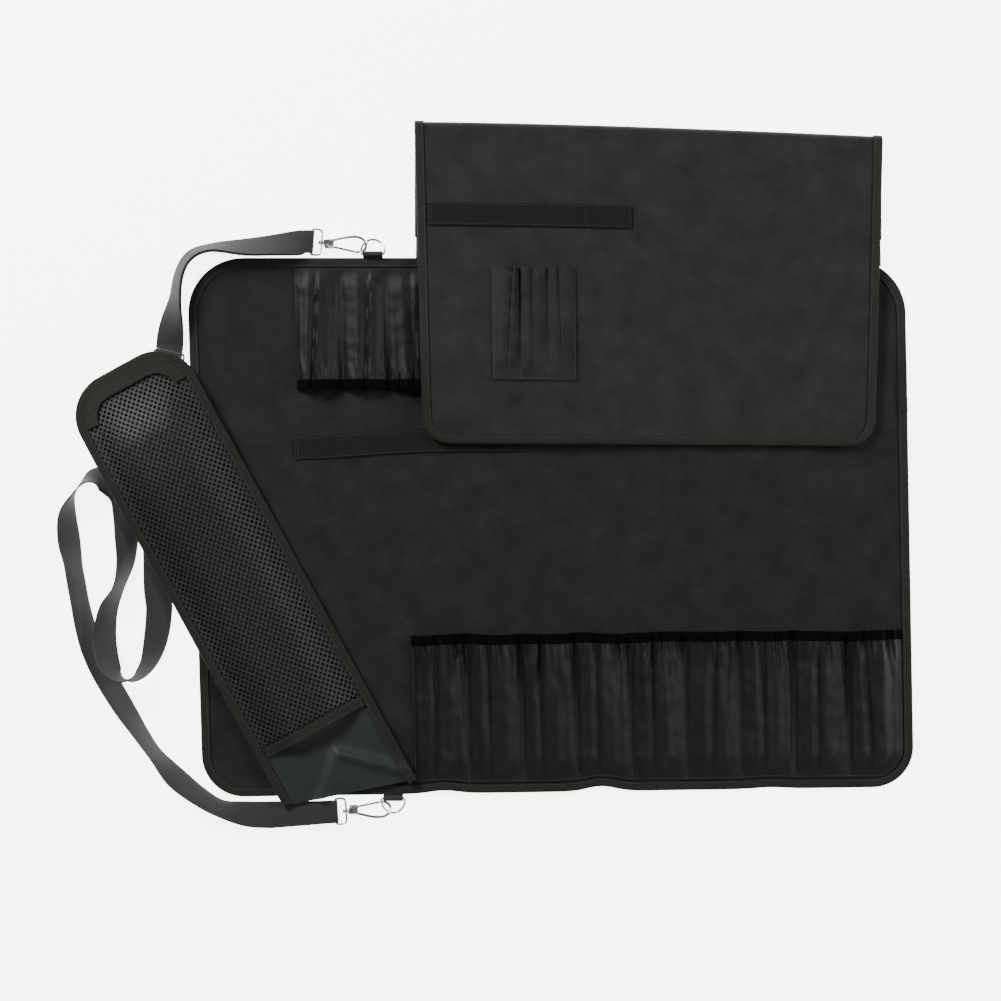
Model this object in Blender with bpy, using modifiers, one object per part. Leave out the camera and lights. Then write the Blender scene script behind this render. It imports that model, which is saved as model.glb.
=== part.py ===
"""A chef's knife roll, lying open and empty on a flat surface.

A bound cloth panel carries two strips of gathered pockets and an elastic band. A flap is
sewn to its top edge and folded back over it. A mesh pouch lies across the left part, and a
webbing shoulder strap runs between two snap hooks, which are clipped to rings on the panel.

Every piece of cloth is cut flat, in its own flat coordinates, thickened there, and then
laid, folded or draped by one placing function. Units are metres, +Z is up, and the origin
is the middle of the panel's flat underside.
"""

import math
from collections import namedtuple

import bmesh
import bpy
from mathutils import Matrix, Vector

# Clearances and cloths
GAP = 0.0003
PANEL_CLOTH = 0.0015
LIGHT_CLOTH = 0.0010
TAPE = 0.0010
ELASTIC = 0.0024
BAND_ELASTIC = 0.0012
BINDING_WIDTH = 0.009
HEM_GAP = 0.0013
HOLDER_GAP = 0.0007

# Main panel
PANEL_WIDTH = 0.714
PANEL_HEIGHT = 0.539
TOP_RADIUS = 0.057
BOTTOM_RADIUS = 0.042
LEAN = 0.024
TOP_SPREAD = 0.0102
RIGHT_RISE = 0.0105
DRAPE_RUN = 0.013
OVERLAP_HEIGHT = 0.050
OVERLAP_UP = 0.255
DENT_WIDTH = 0.020
DENT_REACH = 0.05

# Nine knife pockets
POCKET_COUNT = 9
POCKET_WIDTH = 0.0545
POCKET_DEPTH = 0.150
POCKET_HEIGHT = 0.012
ELASTIC_WIDTH = 0.010

# Five small pockets
SMALL_COUNT = 5
SMALL_WIDTH = 0.0455
SMALL_DEPTH = 0.122
SMALL_HEIGHT = 0.012
SMALL_INSET = 0.1065

# Elastic bands
BLADE_BAND_WIDTH = 0.0225
BLADE_BAND_DROP = 0.184
CUTLERY_BAND_WIDTH = 0.0225
CUTLERY_BAND_LENGTH = 0.206
CUTLERY_BAND_UP = 0.229

# Flap
FLAP_WIDTH = 0.4665
FLAP_LOWER = 0.139
FLAP_UPPER = 0.316
FLAP_RADIUS = 0.027
FLAP_LEFT = 0.2262
FLAP_TAPER = 0.034
FOLD_RADIUS = 0.004
FOLD_SLANT = 0.015
FLAP_SLOPE = 0.003
SEAM_RUN = 0.020

# Cutlery pocket on the flap
CUTLERY_COUNT = 3
CUTLERY_WIDTH = 0.0285
CUTLERY_DEPTH = 0.112
CUTLERY_HEIGHT = 0.0092
CUTLERY_LEFT = 0.0735
CUTLERY_UP = 0.064

# Mesh pouch
POUCH_WIDTH = 0.130
POUCH_LENGTH = 0.483
POUCH_MOUTH = 0.413
POUCH_RADIUS = 0.043
POUCH_ANGLE = math.radians(-61.4)
POUCH_START = (-0.606, 0.2967)
POUCH_SLANT = 0.31
POUCH_BULGE = 0.011
POUCH_HEIGHT = 0.0044
POUCH_END_BAND = 0.013
POUCH_TURNS = (0.0, 30.0, 60.0, 90.0)
NET_COLUMNS = 4
NET_ROWS = 8
NET_STRAND = 0.0026

# Shoulder strap
STRAP_WIDTH = 0.027
STRAP_END_WIDTH = 0.0226
STRAP_CLOTH = 0.0013
STRAP_TUCK = 0.026

# Hooks and rings
WIRE = 0.0022
HOOK_WIRE = 0.0030
RING_WIRE = 0.0025
EYE_SPREAD = 0.0255
EYE_DEPTH = 0.0108
BARREL_LENGTH = 0.0030
BARREL_RADIUS = 0.0030
STEM_RADIUS = 0.0012
HEAD_RADIUS = 0.0023
HOOK_ROLL = math.radians(22.0)
RING_WIDTH = 0.0262
RING_DEPTH = 0.0172
TAB_WIDTH = 0.0196
TAB_CLOTH = 0.0011
GATE_PIVOT = (0.0100, -0.0034)
GATE_END = (0.0332, -0.0069)
PIN_RADIUS = 0.0008
GATE_BARREL = 0.0021
GATE_HALF = 0.0013
CHEEK = 0.0010
CHEEK_ROOT = 0.0010
CHEEK_PAST = 0.0020
BODY_GATE_SIDE = 0.0026
BODY_ARM_SIDE = 0.0042
CHEEK_GATE_SIDE = 0.0018
HEAD_LENGTH = 0.0016
STEM_OVERLAP = 0.0020
PIN_INSET = 0.0002
BAR_ROOT = 0.0015
EYE_CORNER = 0.0040
RING_CORNER = 0.0016
BEND = 0.0006
SLIDER_WIDTH = 0.0325
SLIDER_LENGTH = 0.020
SLIDER_CORNER = 0.003

# Height of one pocket's cloth, across it: share of its width, share of its height
POCKET_PROFILE = (
    (0.00, 0.00), (0.13, 0.55), (0.29, 0.92), (0.46, 0.60),
    (0.52, 1.00), (0.68, 0.88), (0.86, 0.45), (1.00, 0.00),
)
PLEAT_AT = 0.46

# Height down a pocket: share of its depth from the mouth, share of its height
POCKET_FALL = ((0.00, 1.00), (0.28, 0.86), (0.82, 0.60), (1.00, 0.00))

# The nine pleats: place at the mouth and at the hem as shares of a pocket, height share
PLEATS = (
    (0.48, 0.38, 1.00), (0.41, 0.41, 0.92), (0.36, 0.36, 1.00), (0.40, 0.40, 0.95),
    (0.42, 0.42, 1.00), (0.60, 0.48, 0.90), (0.45, 0.45, 1.00), (0.46, 0.46, 0.96),
    (0.30, 0.45, 1.00),
)

# The five small pockets, whose last two the flap presses flat
SMALL_PLEATS = (
    (0.36, 0.50, 1.00), (0.52, 0.64, 0.95), (0.61, 0.55, 0.72), (0.46, 0.46, 0.54),
    (0.46, 0.46, 0.54),
)

CUTLERY_PLEATS = ((0.80, 0.50, 1.00), (0.46, 0.46, 0.95), (0.40, 0.50, 0.90))

# Dents of the panel's lower edge: share of the panel's width, depth in metres
LOWER_DENTS = ((-0.161, 0.0030), (0.060, 0.0050), (0.298, 0.0015))

# Clearance under the flap: share of its way down, height over the surface in metres
FLAP_HEIGHTS = ((0.00, 0.0103), (0.10, 0.0094), (0.42, 0.0082), (0.70, 0.0076), (1.00, 0.0052))

# The small pockets lift the flap's left part: share across, share down, metres, reaches
FLAP_LIFT = (0.05, 0.74, 0.0102, 0.26, 0.26)

# What lies under the pouch lifts it: share across, share down, metres, reaches
POUCH_LIFTS = ((0.36, -0.01, 0.0068, 0.90, 0.20), (-0.46, 0.235, 0.0100, 0.80, 0.155))

# The strap's way from the top hook to the bottom one: shares of the panel's width and
# height, turn of the cloth about its way in degrees, and lift as a share of its width
STRAP_ROUTE = (
    (-0.353, +0.527, +20, 0.00),
    (-0.388, +0.522, +38, 0.00),
    (-0.427, +0.518, +50, 0.00),
    (-0.475, +0.517, +70, 0.00),
    (-0.505, +0.502, +66, 0.00),
    (-0.520, +0.468, +66, 0.00),
    (-0.526, +0.417, +58, 0.00),
    (-0.533, +0.360, +14, 0.00),
    (-0.535, +0.336, +0, 0.00),
    (-0.5375, +0.308, +0, 0.00),
    (-0.552, +0.237, +0, 0.00),
    (-0.555, +0.144, +0, 0.00),
    (-0.556, +0.032, +0, 0.00),
    (-0.553, -0.051, -8, 0.00),
    (-0.552, -0.112, -20, 0.00),
    (-0.549, -0.151, -22, 0.00),
    (-0.553, -0.205, -36, 0.02),
    (-0.563, -0.250, -60, 0.10),
    (-0.578, -0.274, -74, 0.22),
    (-0.594, -0.279, -92, 0.36),
    (-0.609, -0.266, -118, 0.46),
    (-0.619, -0.237, -136, 0.36),
    (-0.623, -0.194, -136, 0.14),
    (-0.618, -0.149, -124, 0.02),
    (-0.604, -0.110, -106, 0.00),
    (-0.595, -0.064, -122, 0.00),
    (-0.594, -0.021, -140, 0.00),
    (-0.595, +0.023, -163, 0.00),
    (-0.602, +0.064, -168, 0.00),
    (-0.628, +0.090, -149, 0.00),
    (-0.650, +0.088, -107, 0.00),
    (-0.668, +0.060, -92, 0.00),
    (-0.676, +0.023, -60, 0.00),
    (-0.674, -0.023, -45, 0.00),
    (-0.668, -0.066, -58, 0.00),
    (-0.664, -0.097, -58, 0.00),
    (-0.658, -0.140, -58, 0.00),
    (-0.651, -0.183, -52, 0.00),
    (-0.641, -0.227, -48, 0.00),
    (-0.624, -0.274, -45, 0.00),
    (-0.598, -0.331, -50, 0.00),
    (-0.574, -0.379, -64, 0.00),
    (-0.552, -0.420, -68, 0.00),
    (-0.524, -0.463, -48, 0.00),
    (-0.489, -0.499, -56, 0.00),
    (-0.459, -0.520, -58, 0.00),
    (-0.424, -0.530, -28, 0.00),
    (-0.392, -0.532, -14, 0.00),
)
SLIDER_ROW = 9
STRAP_STEPS = 2

# The hook's wire from its body round the nose, in its own plane
HOOK_WIRE_PATH = (
    (0.0070, 0.0020), (0.0140, 0.0042), (0.0230, 0.0068), (0.0310, 0.0083), (0.0375, 0.0080),
    (0.0425, 0.0050), (0.0444, 0.0004), (0.0430, -0.0038), (0.0395, -0.0064), (0.0350, -0.0072),
)

# The two ends of the strap: side of the panel, place along it as a share of its width, how
# far the ring's bar lies outside the edge, the swivel from that bar, along and out, the
# hook's heading in degrees, heights of bar and swivel, and the ring's slope in degrees
End = namedtuple(
    "End", "name side along outside swivel_along swivel_out heading ring_height hook_height slope",
)
ENDS = (
    End("top", +1, -0.2404, 0.0035, -0.0508, 0.0115, -4.2, 0.0073, 0.0044, 22.0),
    End("bottom", -1, -0.2323, 0.0034, -0.0470, 0.0128, -3.6, 0.0073, 0.0044, 22.0),
)

COLOURS = {
    "panel": (0.020, 0.022, 0.019, 0.9),
    "binding": (0.030, 0.030, 0.025, 0.8),
    "pocket": (0.017, 0.019, 0.018, 0.8),
    "elastic": (0.006, 0.007, 0.008, 0.9),
    "flap": (0.028, 0.030, 0.028, 0.9),
    "band": (0.018, 0.019, 0.017, 0.9),
    "net": (0.012, 0.013, 0.012, 0.7),
    "lining": (0.027, 0.032, 0.032, 0.5),
    "webbing": (0.012, 0.012, 0.010, 0.8),
    "nickel": (0.75, 0.74, 0.71, 0.2),
}


def smooth(share):
    """Ease from 0 to 1, flat at both ends."""
    share = min(max(share, 0.0), 1.0)
    return share * share * (3.0 - 2.0 * share)


def hill(offset, reach):
    """A bump of height 1 that fades to nothing over about two reaches."""
    return math.exp(-((offset / reach) ** 2))


def read_table(table, share):
    """Read a table of (share, value) rows, with straight lines between the rows."""
    for (low, first), (high, second) in zip(table, table[1:]):
        if share <= high:
            return first + (second - first) * (share - low) / (high - low)
    return table[-1][1]


def catmull(points, steps):
    """Points on a smooth curve through the given ones, of any dimension."""
    ends = [points[0]] + list(points) + [points[-1]]
    found = []
    for a, b, c, d in zip(ends, ends[1:], ends[2:], ends[3:]):
        for step in range(steps):
            t = step / steps
            found.append(tuple(
                0.5 * (2 * q + (r - p) * t + (2 * p - 5 * q + 4 * r - s) * t * t
                       + (3 * q - p - 3 * r + s) * t ** 3)
                for p, q, r, s in zip(a, b, c, d)
            ))
    found.append(tuple(points[-1]))
    return found


# Placing functions: flat cloth to the shape that it lies in

def edge_distance(x, y):
    """How far inside the panel's round-cornered outline a flat point lies."""
    radius = TOP_RADIUS if y > 0 else BOTTOM_RADIUS
    past_x = abs(x) - (PANEL_WIDTH / 2 - radius)
    past_y = abs(y) - (PANEL_HEIGHT / 2 - radius)
    if past_x > 0 and past_y > 0:
        return radius - math.hypot(past_x, past_y)
    return radius - max(past_x, past_y)


def on_panel(x, y, z):
    """Lay a flat point of the panel on the floor, its edge raised by the binding."""
    rise = (x / PANEL_WIDTH + 0.5) * (0.5 - y / PANEL_HEIGHT)
    low = smooth(1.0 - (y + PANEL_HEIGHT / 2) / DENT_REACH)
    dent = sum(depth * hill(x - at * PANEL_WIDTH, DENT_WIDTH) for at, depth in LOWER_DENTS)
    edge = 1.0 - smooth((edge_distance(x, y) - BINDING_WIDTH) / DRAPE_RUN)
    return Vector((
        x * (1.0 + TOP_SPREAD * y / PANEL_HEIGHT) - LEAN * y,
        y + RIGHT_RISE * rise + low * dent,
        z + edge * (TAPE + GAP),
    ))


FLAP_FREE = BINDING_WIDTH + SEAM_RUN + 2 * GAP
FLAP_FOLD = FLAP_LOWER + math.pi * FOLD_RADIUS
FLAP_TOTAL = FLAP_FOLD + FLAP_UPPER
LOWER_LEVEL = TAPE + GAP + LIGHT_CLOTH


def flap_upper_height(share_across, share_down):
    """Height of the folded flap's underside over the floor."""
    across, down, height, reach_across, reach_down = FLAP_LIFT
    lift = height * hill(share_across - across, reach_across)
    return read_table(FLAP_HEIGHTS, share_down) + lift * hill(share_down - down, reach_down)


def on_flap(x, length, z):
    """Fold a flat point of the flap: up from the panel, over, and back down over it."""
    share = x / FLAP_WIDTH + 0.5
    centre = FLAP_LEFT + FLAP_WIDTH / 2 - PANEL_WIDTH / 2 - LEAN * PANEL_HEIGHT / 2
    seam = PANEL_HEIGHT / 2 - BINDING_WIDTH + GAP
    fold = seam + FLAP_LOWER - FOLD_SLANT * share ** 1.5
    if length < FLAP_LOWER:
        way = length / FLAP_LOWER
        over = 1.0 - smooth((length - BINDING_WIDTH) / SEAM_RUN)
        sewn = PANEL_CLOTH + 3 * TAPE + 4 * GAP + LIGHT_CLOTH
        level = LOWER_LEVEL + (sewn - LOWER_LEVEL) * over
        return Vector((centre + x, seam + (fold - seam) * way, level - z))
    if length < FLAP_FOLD:
        angle = (length - FLAP_LOWER) / FOLD_RADIUS
        radius = FOLD_RADIUS + z
        up = LOWER_LEVEL + FOLD_RADIUS - radius * math.cos(angle)
        return Vector((centre + x, fold + radius * math.sin(angle), up))
    down = (length - FLAP_FOLD) / FLAP_UPPER
    lower = fold - FLAP_UPPER - FLAP_SLOPE * share + FOLD_SLANT * share ** 1.5
    spread = 1.0 - FLAP_TAPER * down
    level = flap_upper_height(share, down)
    return Vector((
        centre + x * spread + LEAN * down * FLAP_WIDTH * 0.06,
        fold + (lower - fold) * down,
        level + z,
    ))


def pouch_height(x, length):
    """Height of the pouch's back over the floor."""
    level = POUCH_HEIGHT
    for across, down, height, reach_across, reach_down in POUCH_LIFTS:
        side = hill(x / POUCH_WIDTH - across, reach_across)
        level += height * side * hill(length / POUCH_LENGTH - down, reach_down)
    return level


def on_pouch(x, length, z):
    """Lay a flat point of the pouch across the panel's left part."""
    along = Vector((math.cos(POUCH_ANGLE), math.sin(POUCH_ANGLE), 0.0))
    across = Vector((-along.y, along.x, 0.0))
    start = Vector((
        POUCH_START[0] * PANEL_WIDTH,
        POUCH_START[1] * PANEL_HEIGHT,
        pouch_height(x, length) + TAPE + GAP + z,
    ))
    return start + along * length + across * x


# Making cloth and wire

def material(name):
    """A Principled material from the table of colours."""
    if name in bpy.data.materials:
        return bpy.data.materials[name]
    made = bpy.data.materials.new(name)
    made.use_nodes = True
    red, green, blue, rough = COLOURS[name]
    shader = made.node_tree.nodes["Principled BSDF"]
    shader.inputs["Base Color"].default_value = (red, green, blue, 1.0)
    shader.inputs["Roughness"].default_value = rough
    shader.inputs["Metallic"].default_value = 1.0 if name == "nickel" else 0.0
    made.diffuse_color = (red, green, blue, 1.0)
    return made


def keep(name, mesh_builder, colour):
    """Make an object of a bmesh, its faces out, in the roll's own collection."""
    bmesh.ops.recalc_face_normals(mesh_builder, faces=mesh_builder.faces)
    if mesh_builder.calc_volume(signed=True) < 0:
        bmesh.ops.reverse_faces(mesh_builder, faces=mesh_builder.faces)
    mesh = bpy.data.meshes.new(name)
    mesh_builder.to_mesh(mesh)
    mesh_builder.free()
    mesh.materials.append(material(colour))
    made = bpy.data.objects.new(name, mesh)
    bpy.data.collections["knife_roll"].objects.link(made)
    return made


def evaluated(source):
    """A bmesh of an object with its modifiers or bevel done, its caps welded."""
    bpy.context.view_layer.update()
    graph = bpy.context.evaluated_depsgraph_get()
    mesh = bpy.data.meshes.new_from_object(source.evaluated_get(graph))
    built = bmesh.new()
    built.from_mesh(mesh)
    built.transform(source.matrix_world)
    bmesh.ops.remove_doubles(built, verts=built.verts, dist=1e-6)
    bpy.data.meshes.remove(mesh)
    bpy.data.objects.remove(source)
    return built


def thicken(name, flat, thickness, place, colour):
    """Give flat or gathered cloth its thickness upward, then place every point of it."""
    bmesh.ops.recalc_face_normals(flat, faces=flat.faces)
    if sum(face.normal.z for face in flat.faces) < 0:
        bmesh.ops.reverse_faces(flat, faces=flat.faces)
    mesh = bpy.data.meshes.new(name + "_flat")
    flat.to_mesh(mesh)
    flat.free()
    sheet = bpy.data.objects.new(name + "_flat", mesh)
    bpy.context.scene.collection.objects.link(sheet)
    solidify = sheet.modifiers.new("thickness", "SOLIDIFY")
    solidify.thickness = thickness
    solidify.offset = 1.0
    solid = evaluated(sheet)
    for vertex in solid.verts:
        vertex.co = place(*vertex.co)
    return keep(name, solid, colour)


def grid(rows):
    """An open surface of quads through rows of points."""
    built = bmesh.new()
    lines = [[built.verts.new(point) for point in row] for row in rows]
    for first, second in zip(lines, lines[1:]):
        for a, b, c, d in zip(first, first[1:], second[1:], second):
            built.faces.new((a, b, c, d))
    return built


def outline(half_width, top, bottom, radii, steps, straights):
    """A rounded outline from its top left, clockwise: points with their inward normals.

    radii are the corners' radii: top left, top right, bottom right, bottom left.
    """
    corners = (
        (-half_width, top, 180.0), (half_width, top, 90.0),
        (half_width, bottom, 0.0), (-half_width, bottom, -90.0),
    )
    signs = ((1, -1), (-1, -1), (-1, 1), (1, 1))
    found = []
    for number, ((x, y, start), radius, (turn_x, turn_y)) in enumerate(zip(corners, radii, signs)):
        centre = (x + turn_x * radius, y + turn_y * radius)
        for step in range(steps + 1):
            angle = math.radians(start - 90.0 * step / steps)
            out = (math.cos(angle), math.sin(angle))
            spot = (centre[0] + radius * out[0], centre[1] + radius * out[1])
            found.append((*spot, -out[0], -out[1]))
        end = found[-1]
        following = (number + 1) % 4
        next_x, next_y, next_start = corners[following]
        next_radius = radii[following]
        out = (math.cos(math.radians(next_start)), math.sin(math.radians(next_start)))
        goal = (
            next_x + signs[following][0] * next_radius + next_radius * out[0],
            next_y + signs[following][1] * next_radius + next_radius * out[1],
        )
        for step in range(1, straights[number]):
            share = step / straights[number]
            found.append((
                end[0] + (goal[0] - end[0]) * share,
                end[1] + (goal[1] - end[1]) * share,
                end[2], end[3],
            ))
    return found


def sweep(name, frames, colour, closed):
    """A solid through equal rings of points, open with end caps or closed on itself."""
    built = bmesh.new()
    rings = [[built.verts.new(point) for point in frame] for frame in frames]
    pairs = list(zip(rings, rings[1:]))
    if closed:
        pairs.append((rings[-1], rings[0]))
    for first, second in pairs:
        for a, b, c, d in zip(first, first[1:] + first[:1], second[1:] + second[:1], second):
            built.faces.new((a, b, c, d))
    if not closed:
        built.faces.new(rings[0])
        built.faces.new(rings[-1])
        built.normal_update()
        caps = [face for face in built.faces if len(face.verts) > 4]
        bmesh.ops.triangulate(built, faces=caps, ngon_method="EAR_CLIP")
    return keep(name, built, colour)


def binding_section(thickness):
    """The folded tape round a cloth's edge: distance inward and height."""
    low = -TAPE - GAP
    high = thickness + GAP + TAPE
    return (
        (0.0, low), (BINDING_WIDTH, low), (BINDING_WIDTH, low + TAPE), (TAPE, low + TAPE),
        (TAPE, high - TAPE), (BINDING_WIDTH, high - TAPE), (BINDING_WIDTH, high), (0.0, high),
    )


def bind(name, path, thickness, place, closed):
    """Fold tape round a flat edge, given as points with inward normals."""
    section = binding_section(thickness)
    frames = [[place(x + nx * d, y + ny * d, z) for d, z in section] for x, y, nx, ny in path]
    return sweep(name, frames, "binding", closed)


def wire(name, points, radius, closed, colour):
    """A round wire through points: a curve with a bevel, made a mesh."""
    curve = bpy.data.curves.new(name + "_curve", "CURVE")
    curve.dimensions = "3D"
    curve.bevel_depth = radius
    curve.bevel_resolution = 1
    curve.use_fill_caps = True
    spline = curve.splines.new("POLY")
    spline.points.add(len(points) - 1)
    for spot, point in zip(spline.points, points):
        spot.co = (*point, 1.0)
    spline.use_cyclic_u = closed
    source = bpy.data.objects.new(name + "_curve", curve)
    bpy.context.scene.collection.objects.link(source)
    return keep(name, evaluated(source), colour)


def solid(name, colour, build):
    """A primitive made by a bmesh operator."""
    built = bmesh.new()
    build(built)
    return keep(name, built, colour)


def rod(name, colour, start, end, radius, segments=12):
    """A cylinder between two points."""
    start = Vector(start)
    end = Vector(end)
    turn = (end - start).to_track_quat("Z", "Y").to_matrix().to_4x4()
    place = Matrix.Translation((start + end) / 2) @ turn

    def build(built):
        bmesh.ops.create_cone(
            built, cap_ends=True, segments=segments, radius1=radius, radius2=radius,
            depth=(end - start).length, matrix=place,
        )
    return solid(name, colour, build)


def block(name, colour, low, high):
    """A box between two corners."""
    low = Vector(low)
    high = Vector(high)
    place = Matrix.Translation((low + high) / 2) @ Matrix.Diagonal((high - low).to_4d())

    def build(built):
        bmesh.ops.create_cube(built, size=1.0, matrix=place)
    return solid(name, colour, build)


def combine(name, base, others, operation):
    """Join or cut solids with exact Booleans and bake the result."""
    for other in others:
        change = base.modifiers.new("combine", "BOOLEAN")
        change.operation = operation
        change.object = other
    colour = base.data.materials[0].name
    built = evaluated(base)
    for other in others:
        bpy.data.objects.remove(other)
    made = keep(name, built, colour)
    return made


def move(piece, matrix):
    """Move a finished piece's points by a matrix."""
    piece.data.transform(matrix)
    return piece


def seat(piece, point):
    """Put a moving piece's origin on its joint, with its points left where they are."""
    piece.data.transform(Matrix.Translation(-point))
    piece.location = point
    return piece


# The panel

def make_panel():
    """The bound main cloth: rings of the outline, and one flat face inside them."""
    half = PANEL_WIDTH / 2
    top = PANEL_HEIGHT / 2
    radii = (TOP_RADIUS, TOP_RADIUS, BOTTOM_RADIUS, BOTTOM_RADIUS)
    path = outline(half, top, -top, radii, 4, (6, 4, 26, 4))
    insets = (TAPE + GAP, BINDING_WIDTH, BINDING_WIDTH + DRAPE_RUN)
    built = bmesh.new()
    rings = [
        [built.verts.new((x + nx * inset, y + ny * inset, 0.0)) for x, y, nx, ny in path]
        for inset in insets
    ]
    for outer, inner in zip(rings, rings[1:]):
        for a, b, c, d in zip(outer, outer[1:] + outer[:1], inner[1:] + inner[:1], inner):
            built.faces.new((a, b, c, d))
    built.faces.new(rings[-1])
    thicken("base_panel", built, PANEL_CLOTH, on_panel, "panel")
    bind("panel_binding", path, PANEL_CLOTH, on_panel, True)


def make_overlap():
    """The lapped end of the panel's binding, a second tape round the right edge."""
    level = OVERLAP_UP * PANEL_HEIGHT - OVERLAP_HEIGHT / 2
    low = PANEL_CLOTH + 2 * GAP + TAPE
    rows = [
        [(PANEL_WIDTH / 2 - across, level + share * OVERLAP_HEIGHT, low) for across in (GAP, BINDING_WIDTH)]
        for share in (0.0, 0.5, 1.0)
    ]
    thicken("binding_overlap", grid(rows), TAPE, on_panel, "binding")


# Pockets

def pocket_columns(count, width, pleats, fall):
    """Flat places and heights across a strip of pockets, at one share of its depth."""
    columns = []
    for number in range(count):
        mouth, hem, height = pleats[number]
        pleat = mouth + (hem - mouth) * fall
        for share, high in POCKET_PROFILE[:-1]:
            if share <= PLEAT_AT:
                moved = share * pleat / PLEAT_AT
            else:
                moved = pleat + (share - PLEAT_AT) * (1.0 - pleat) / (1.0 - PLEAT_AT)
            columns.append(((number + moved) * width, high * height))
    columns.append((count * width, 0.0))
    return columns


def corner_limit(y):
    """How far right a strip may reach at a flat height, inside the binding's round corner."""
    right = PANEL_WIDTH / 2 - BINDING_WIDTH - HEM_GAP
    below = BOTTOM_RADIUS - PANEL_HEIGHT / 2 - y
    if below <= 0:
        return right
    radius = BOTTOM_RADIUS - BINDING_WIDTH - HEM_GAP
    return PANEL_WIDTH / 2 - BOTTOM_RADIUS + math.sqrt(max(radius * radius - below * below, 0.0))


def fit_corner(x, y, width):
    """Draw the last pocket's cloth in to the round corner."""
    right = PANEL_WIDTH / 2 - BINDING_WIDTH - HEM_GAP
    left = right - width
    if x <= left:
        return x
    return left + (x - left) * (corner_limit(y) - left) / width


def pocket_strip(names, count, width, depth, height, pleats, corner, down, level, place):
    """A gathered strip of pockets and the elastic at its mouths.

    corner is the flat place of the strip's left end at its hem, down is -1 where the
    mouths face down, and level is the surface that the seams are sewn on.
    """
    cloth_depth = depth - ELASTIC_WIDTH - GAP
    rows = []
    for share, high in POCKET_FALL:
        columns = pocket_columns(count, width, pleats, share)
        up = corner[1] + down * cloth_depth * (1.0 - share)
        rows.append([
            (fit_corner(corner[0] + x, up, width), up, level + GAP + height * high * z)
            for x, z in columns
        ])
    thicken(names[0], grid(rows), LIGHT_CLOTH, place, "pocket")
    columns = pocket_columns(count, width, pleats, 0.0)
    band = [
        [(corner[0] + x, corner[1] + down * up, level + GAP + height * z) for x, z in columns]
        for up in (cloth_depth + GAP, depth)
    ]
    thicken(names[1], grid(band), ELASTIC, place, "elastic")


def make_pockets():
    """The nine knife pockets and the five small ones."""
    right = PANEL_WIDTH / 2 - BINDING_WIDTH - HEM_GAP
    hem = -PANEL_HEIGHT / 2 + BINDING_WIDTH + HEM_GAP
    pocket_strip(
        ("pocket_strip", "pocket_elastic"), POCKET_COUNT, POCKET_WIDTH, POCKET_DEPTH, POCKET_HEIGHT,
        PLEATS, (right - POCKET_COUNT * POCKET_WIDTH, hem), +1, PANEL_CLOTH, on_panel,
    )
    left = -PANEL_WIDTH / 2 + SMALL_INSET
    pocket_strip(
        ("small_pocket_strip", "small_pocket_elastic"), SMALL_COUNT, SMALL_WIDTH, SMALL_DEPTH,
        SMALL_HEIGHT, SMALL_PLEATS, (left, -hem), -1, PANEL_CLOTH, on_panel,
    )


def make_blade_band():
    """The elastic across the panel, sewn at both ends, which hangs a little at its left."""
    left = -PANEL_WIDTH / 2 + SMALL_INSET - ELASTIC_WIDTH / 2
    length = SMALL_COUNT * SMALL_WIDTH + ELASTIC_WIDTH / 2
    middle = PANEL_HEIGHT / 2 - BLADE_BAND_DROP
    rows = []
    for side in (-0.5, 0.5):
        row = []
        for step in range(9):
            share = step / 8
            sag = 0.30 * BLADE_BAND_WIDTH * (1.0 - smooth(share / 0.6))
            row.append((left + length * share, middle + side * BLADE_BAND_WIDTH - sag, PANEL_CLOTH + GAP))
        rows.append(row)
    thicken("blade_band", grid(rows), BAND_ELASTIC, on_panel, "band")


# The flap

def flap_rows():
    """Lengths down the flap at which its cloth has a row of points."""
    lower = [FLAP_LOWER * share for share in (0.0, 0.07, 0.14)] + [FLAP_FREE, FLAP_LOWER]
    fold = [FLAP_LOWER + math.pi * FOLD_RADIUS * share for share in (0.25, 0.5, 0.75, 1.0)]
    upper = [FLAP_FOLD + FLAP_UPPER * share for share in (0.14, 0.3, 0.45, 0.58, 0.7, 0.81, 0.9)]
    return lower + fold + upper


def flap_half(length, inset):
    """Half of the flap's width at a length, inside its round lower corners."""
    radius = FLAP_RADIUS - inset
    past = length - (FLAP_TOTAL - FLAP_RADIUS)
    if past <= 0:
        return FLAP_WIDTH / 2 - inset
    return FLAP_WIDTH / 2 - FLAP_RADIUS + math.sqrt(max(radius * radius - past * past, 0.0))


def make_flap():
    """The flap's one cloth and the tape round its sides and lower edge."""
    inset = TAPE + GAP
    corner = FLAP_RADIUS - inset
    lengths = flap_rows()
    start = FLAP_TOTAL - FLAP_RADIUS
    lengths = [length for length in lengths if length < start]
    lengths += [start + corner * math.sin(math.radians(angle)) for angle in (0, 30, 60, 90)]
    columns = [share / 9 * 2 - 1 for share in range(10)]
    rows = [[(column * flap_half(length, inset), length, 0.0) for column in columns] for length in lengths]
    thicken("flap", grid(rows), LIGHT_CLOTH, on_flap, "flap")

    side = [length for length in flap_rows() if FLAP_FREE < length < start - GAP]
    half = FLAP_WIDTH / 2
    path = [(-half, length, 1.0, 0.0) for length in [FLAP_FREE] + side]
    for angle in (0, 30, 60, 90):
        turn = math.radians(angle)
        out = (-math.cos(turn), math.sin(turn))
        path.append((
            -half + FLAP_RADIUS + FLAP_RADIUS * out[0], start + FLAP_RADIUS * out[1],
            -out[0], -out[1],
        ))
    steps = 9
    for step in range(1, steps):
        path.append((-(half - FLAP_RADIUS) * (1.0 - 2.0 * step / steps), FLAP_TOTAL, 0.0, -1.0))
    path += [(-x, length, -nx, ny) for x, length, nx, ny in reversed(path[:-(steps - 1)])]
    bind("flap_binding", path, LIGHT_CLOTH, on_flap, False)


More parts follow.
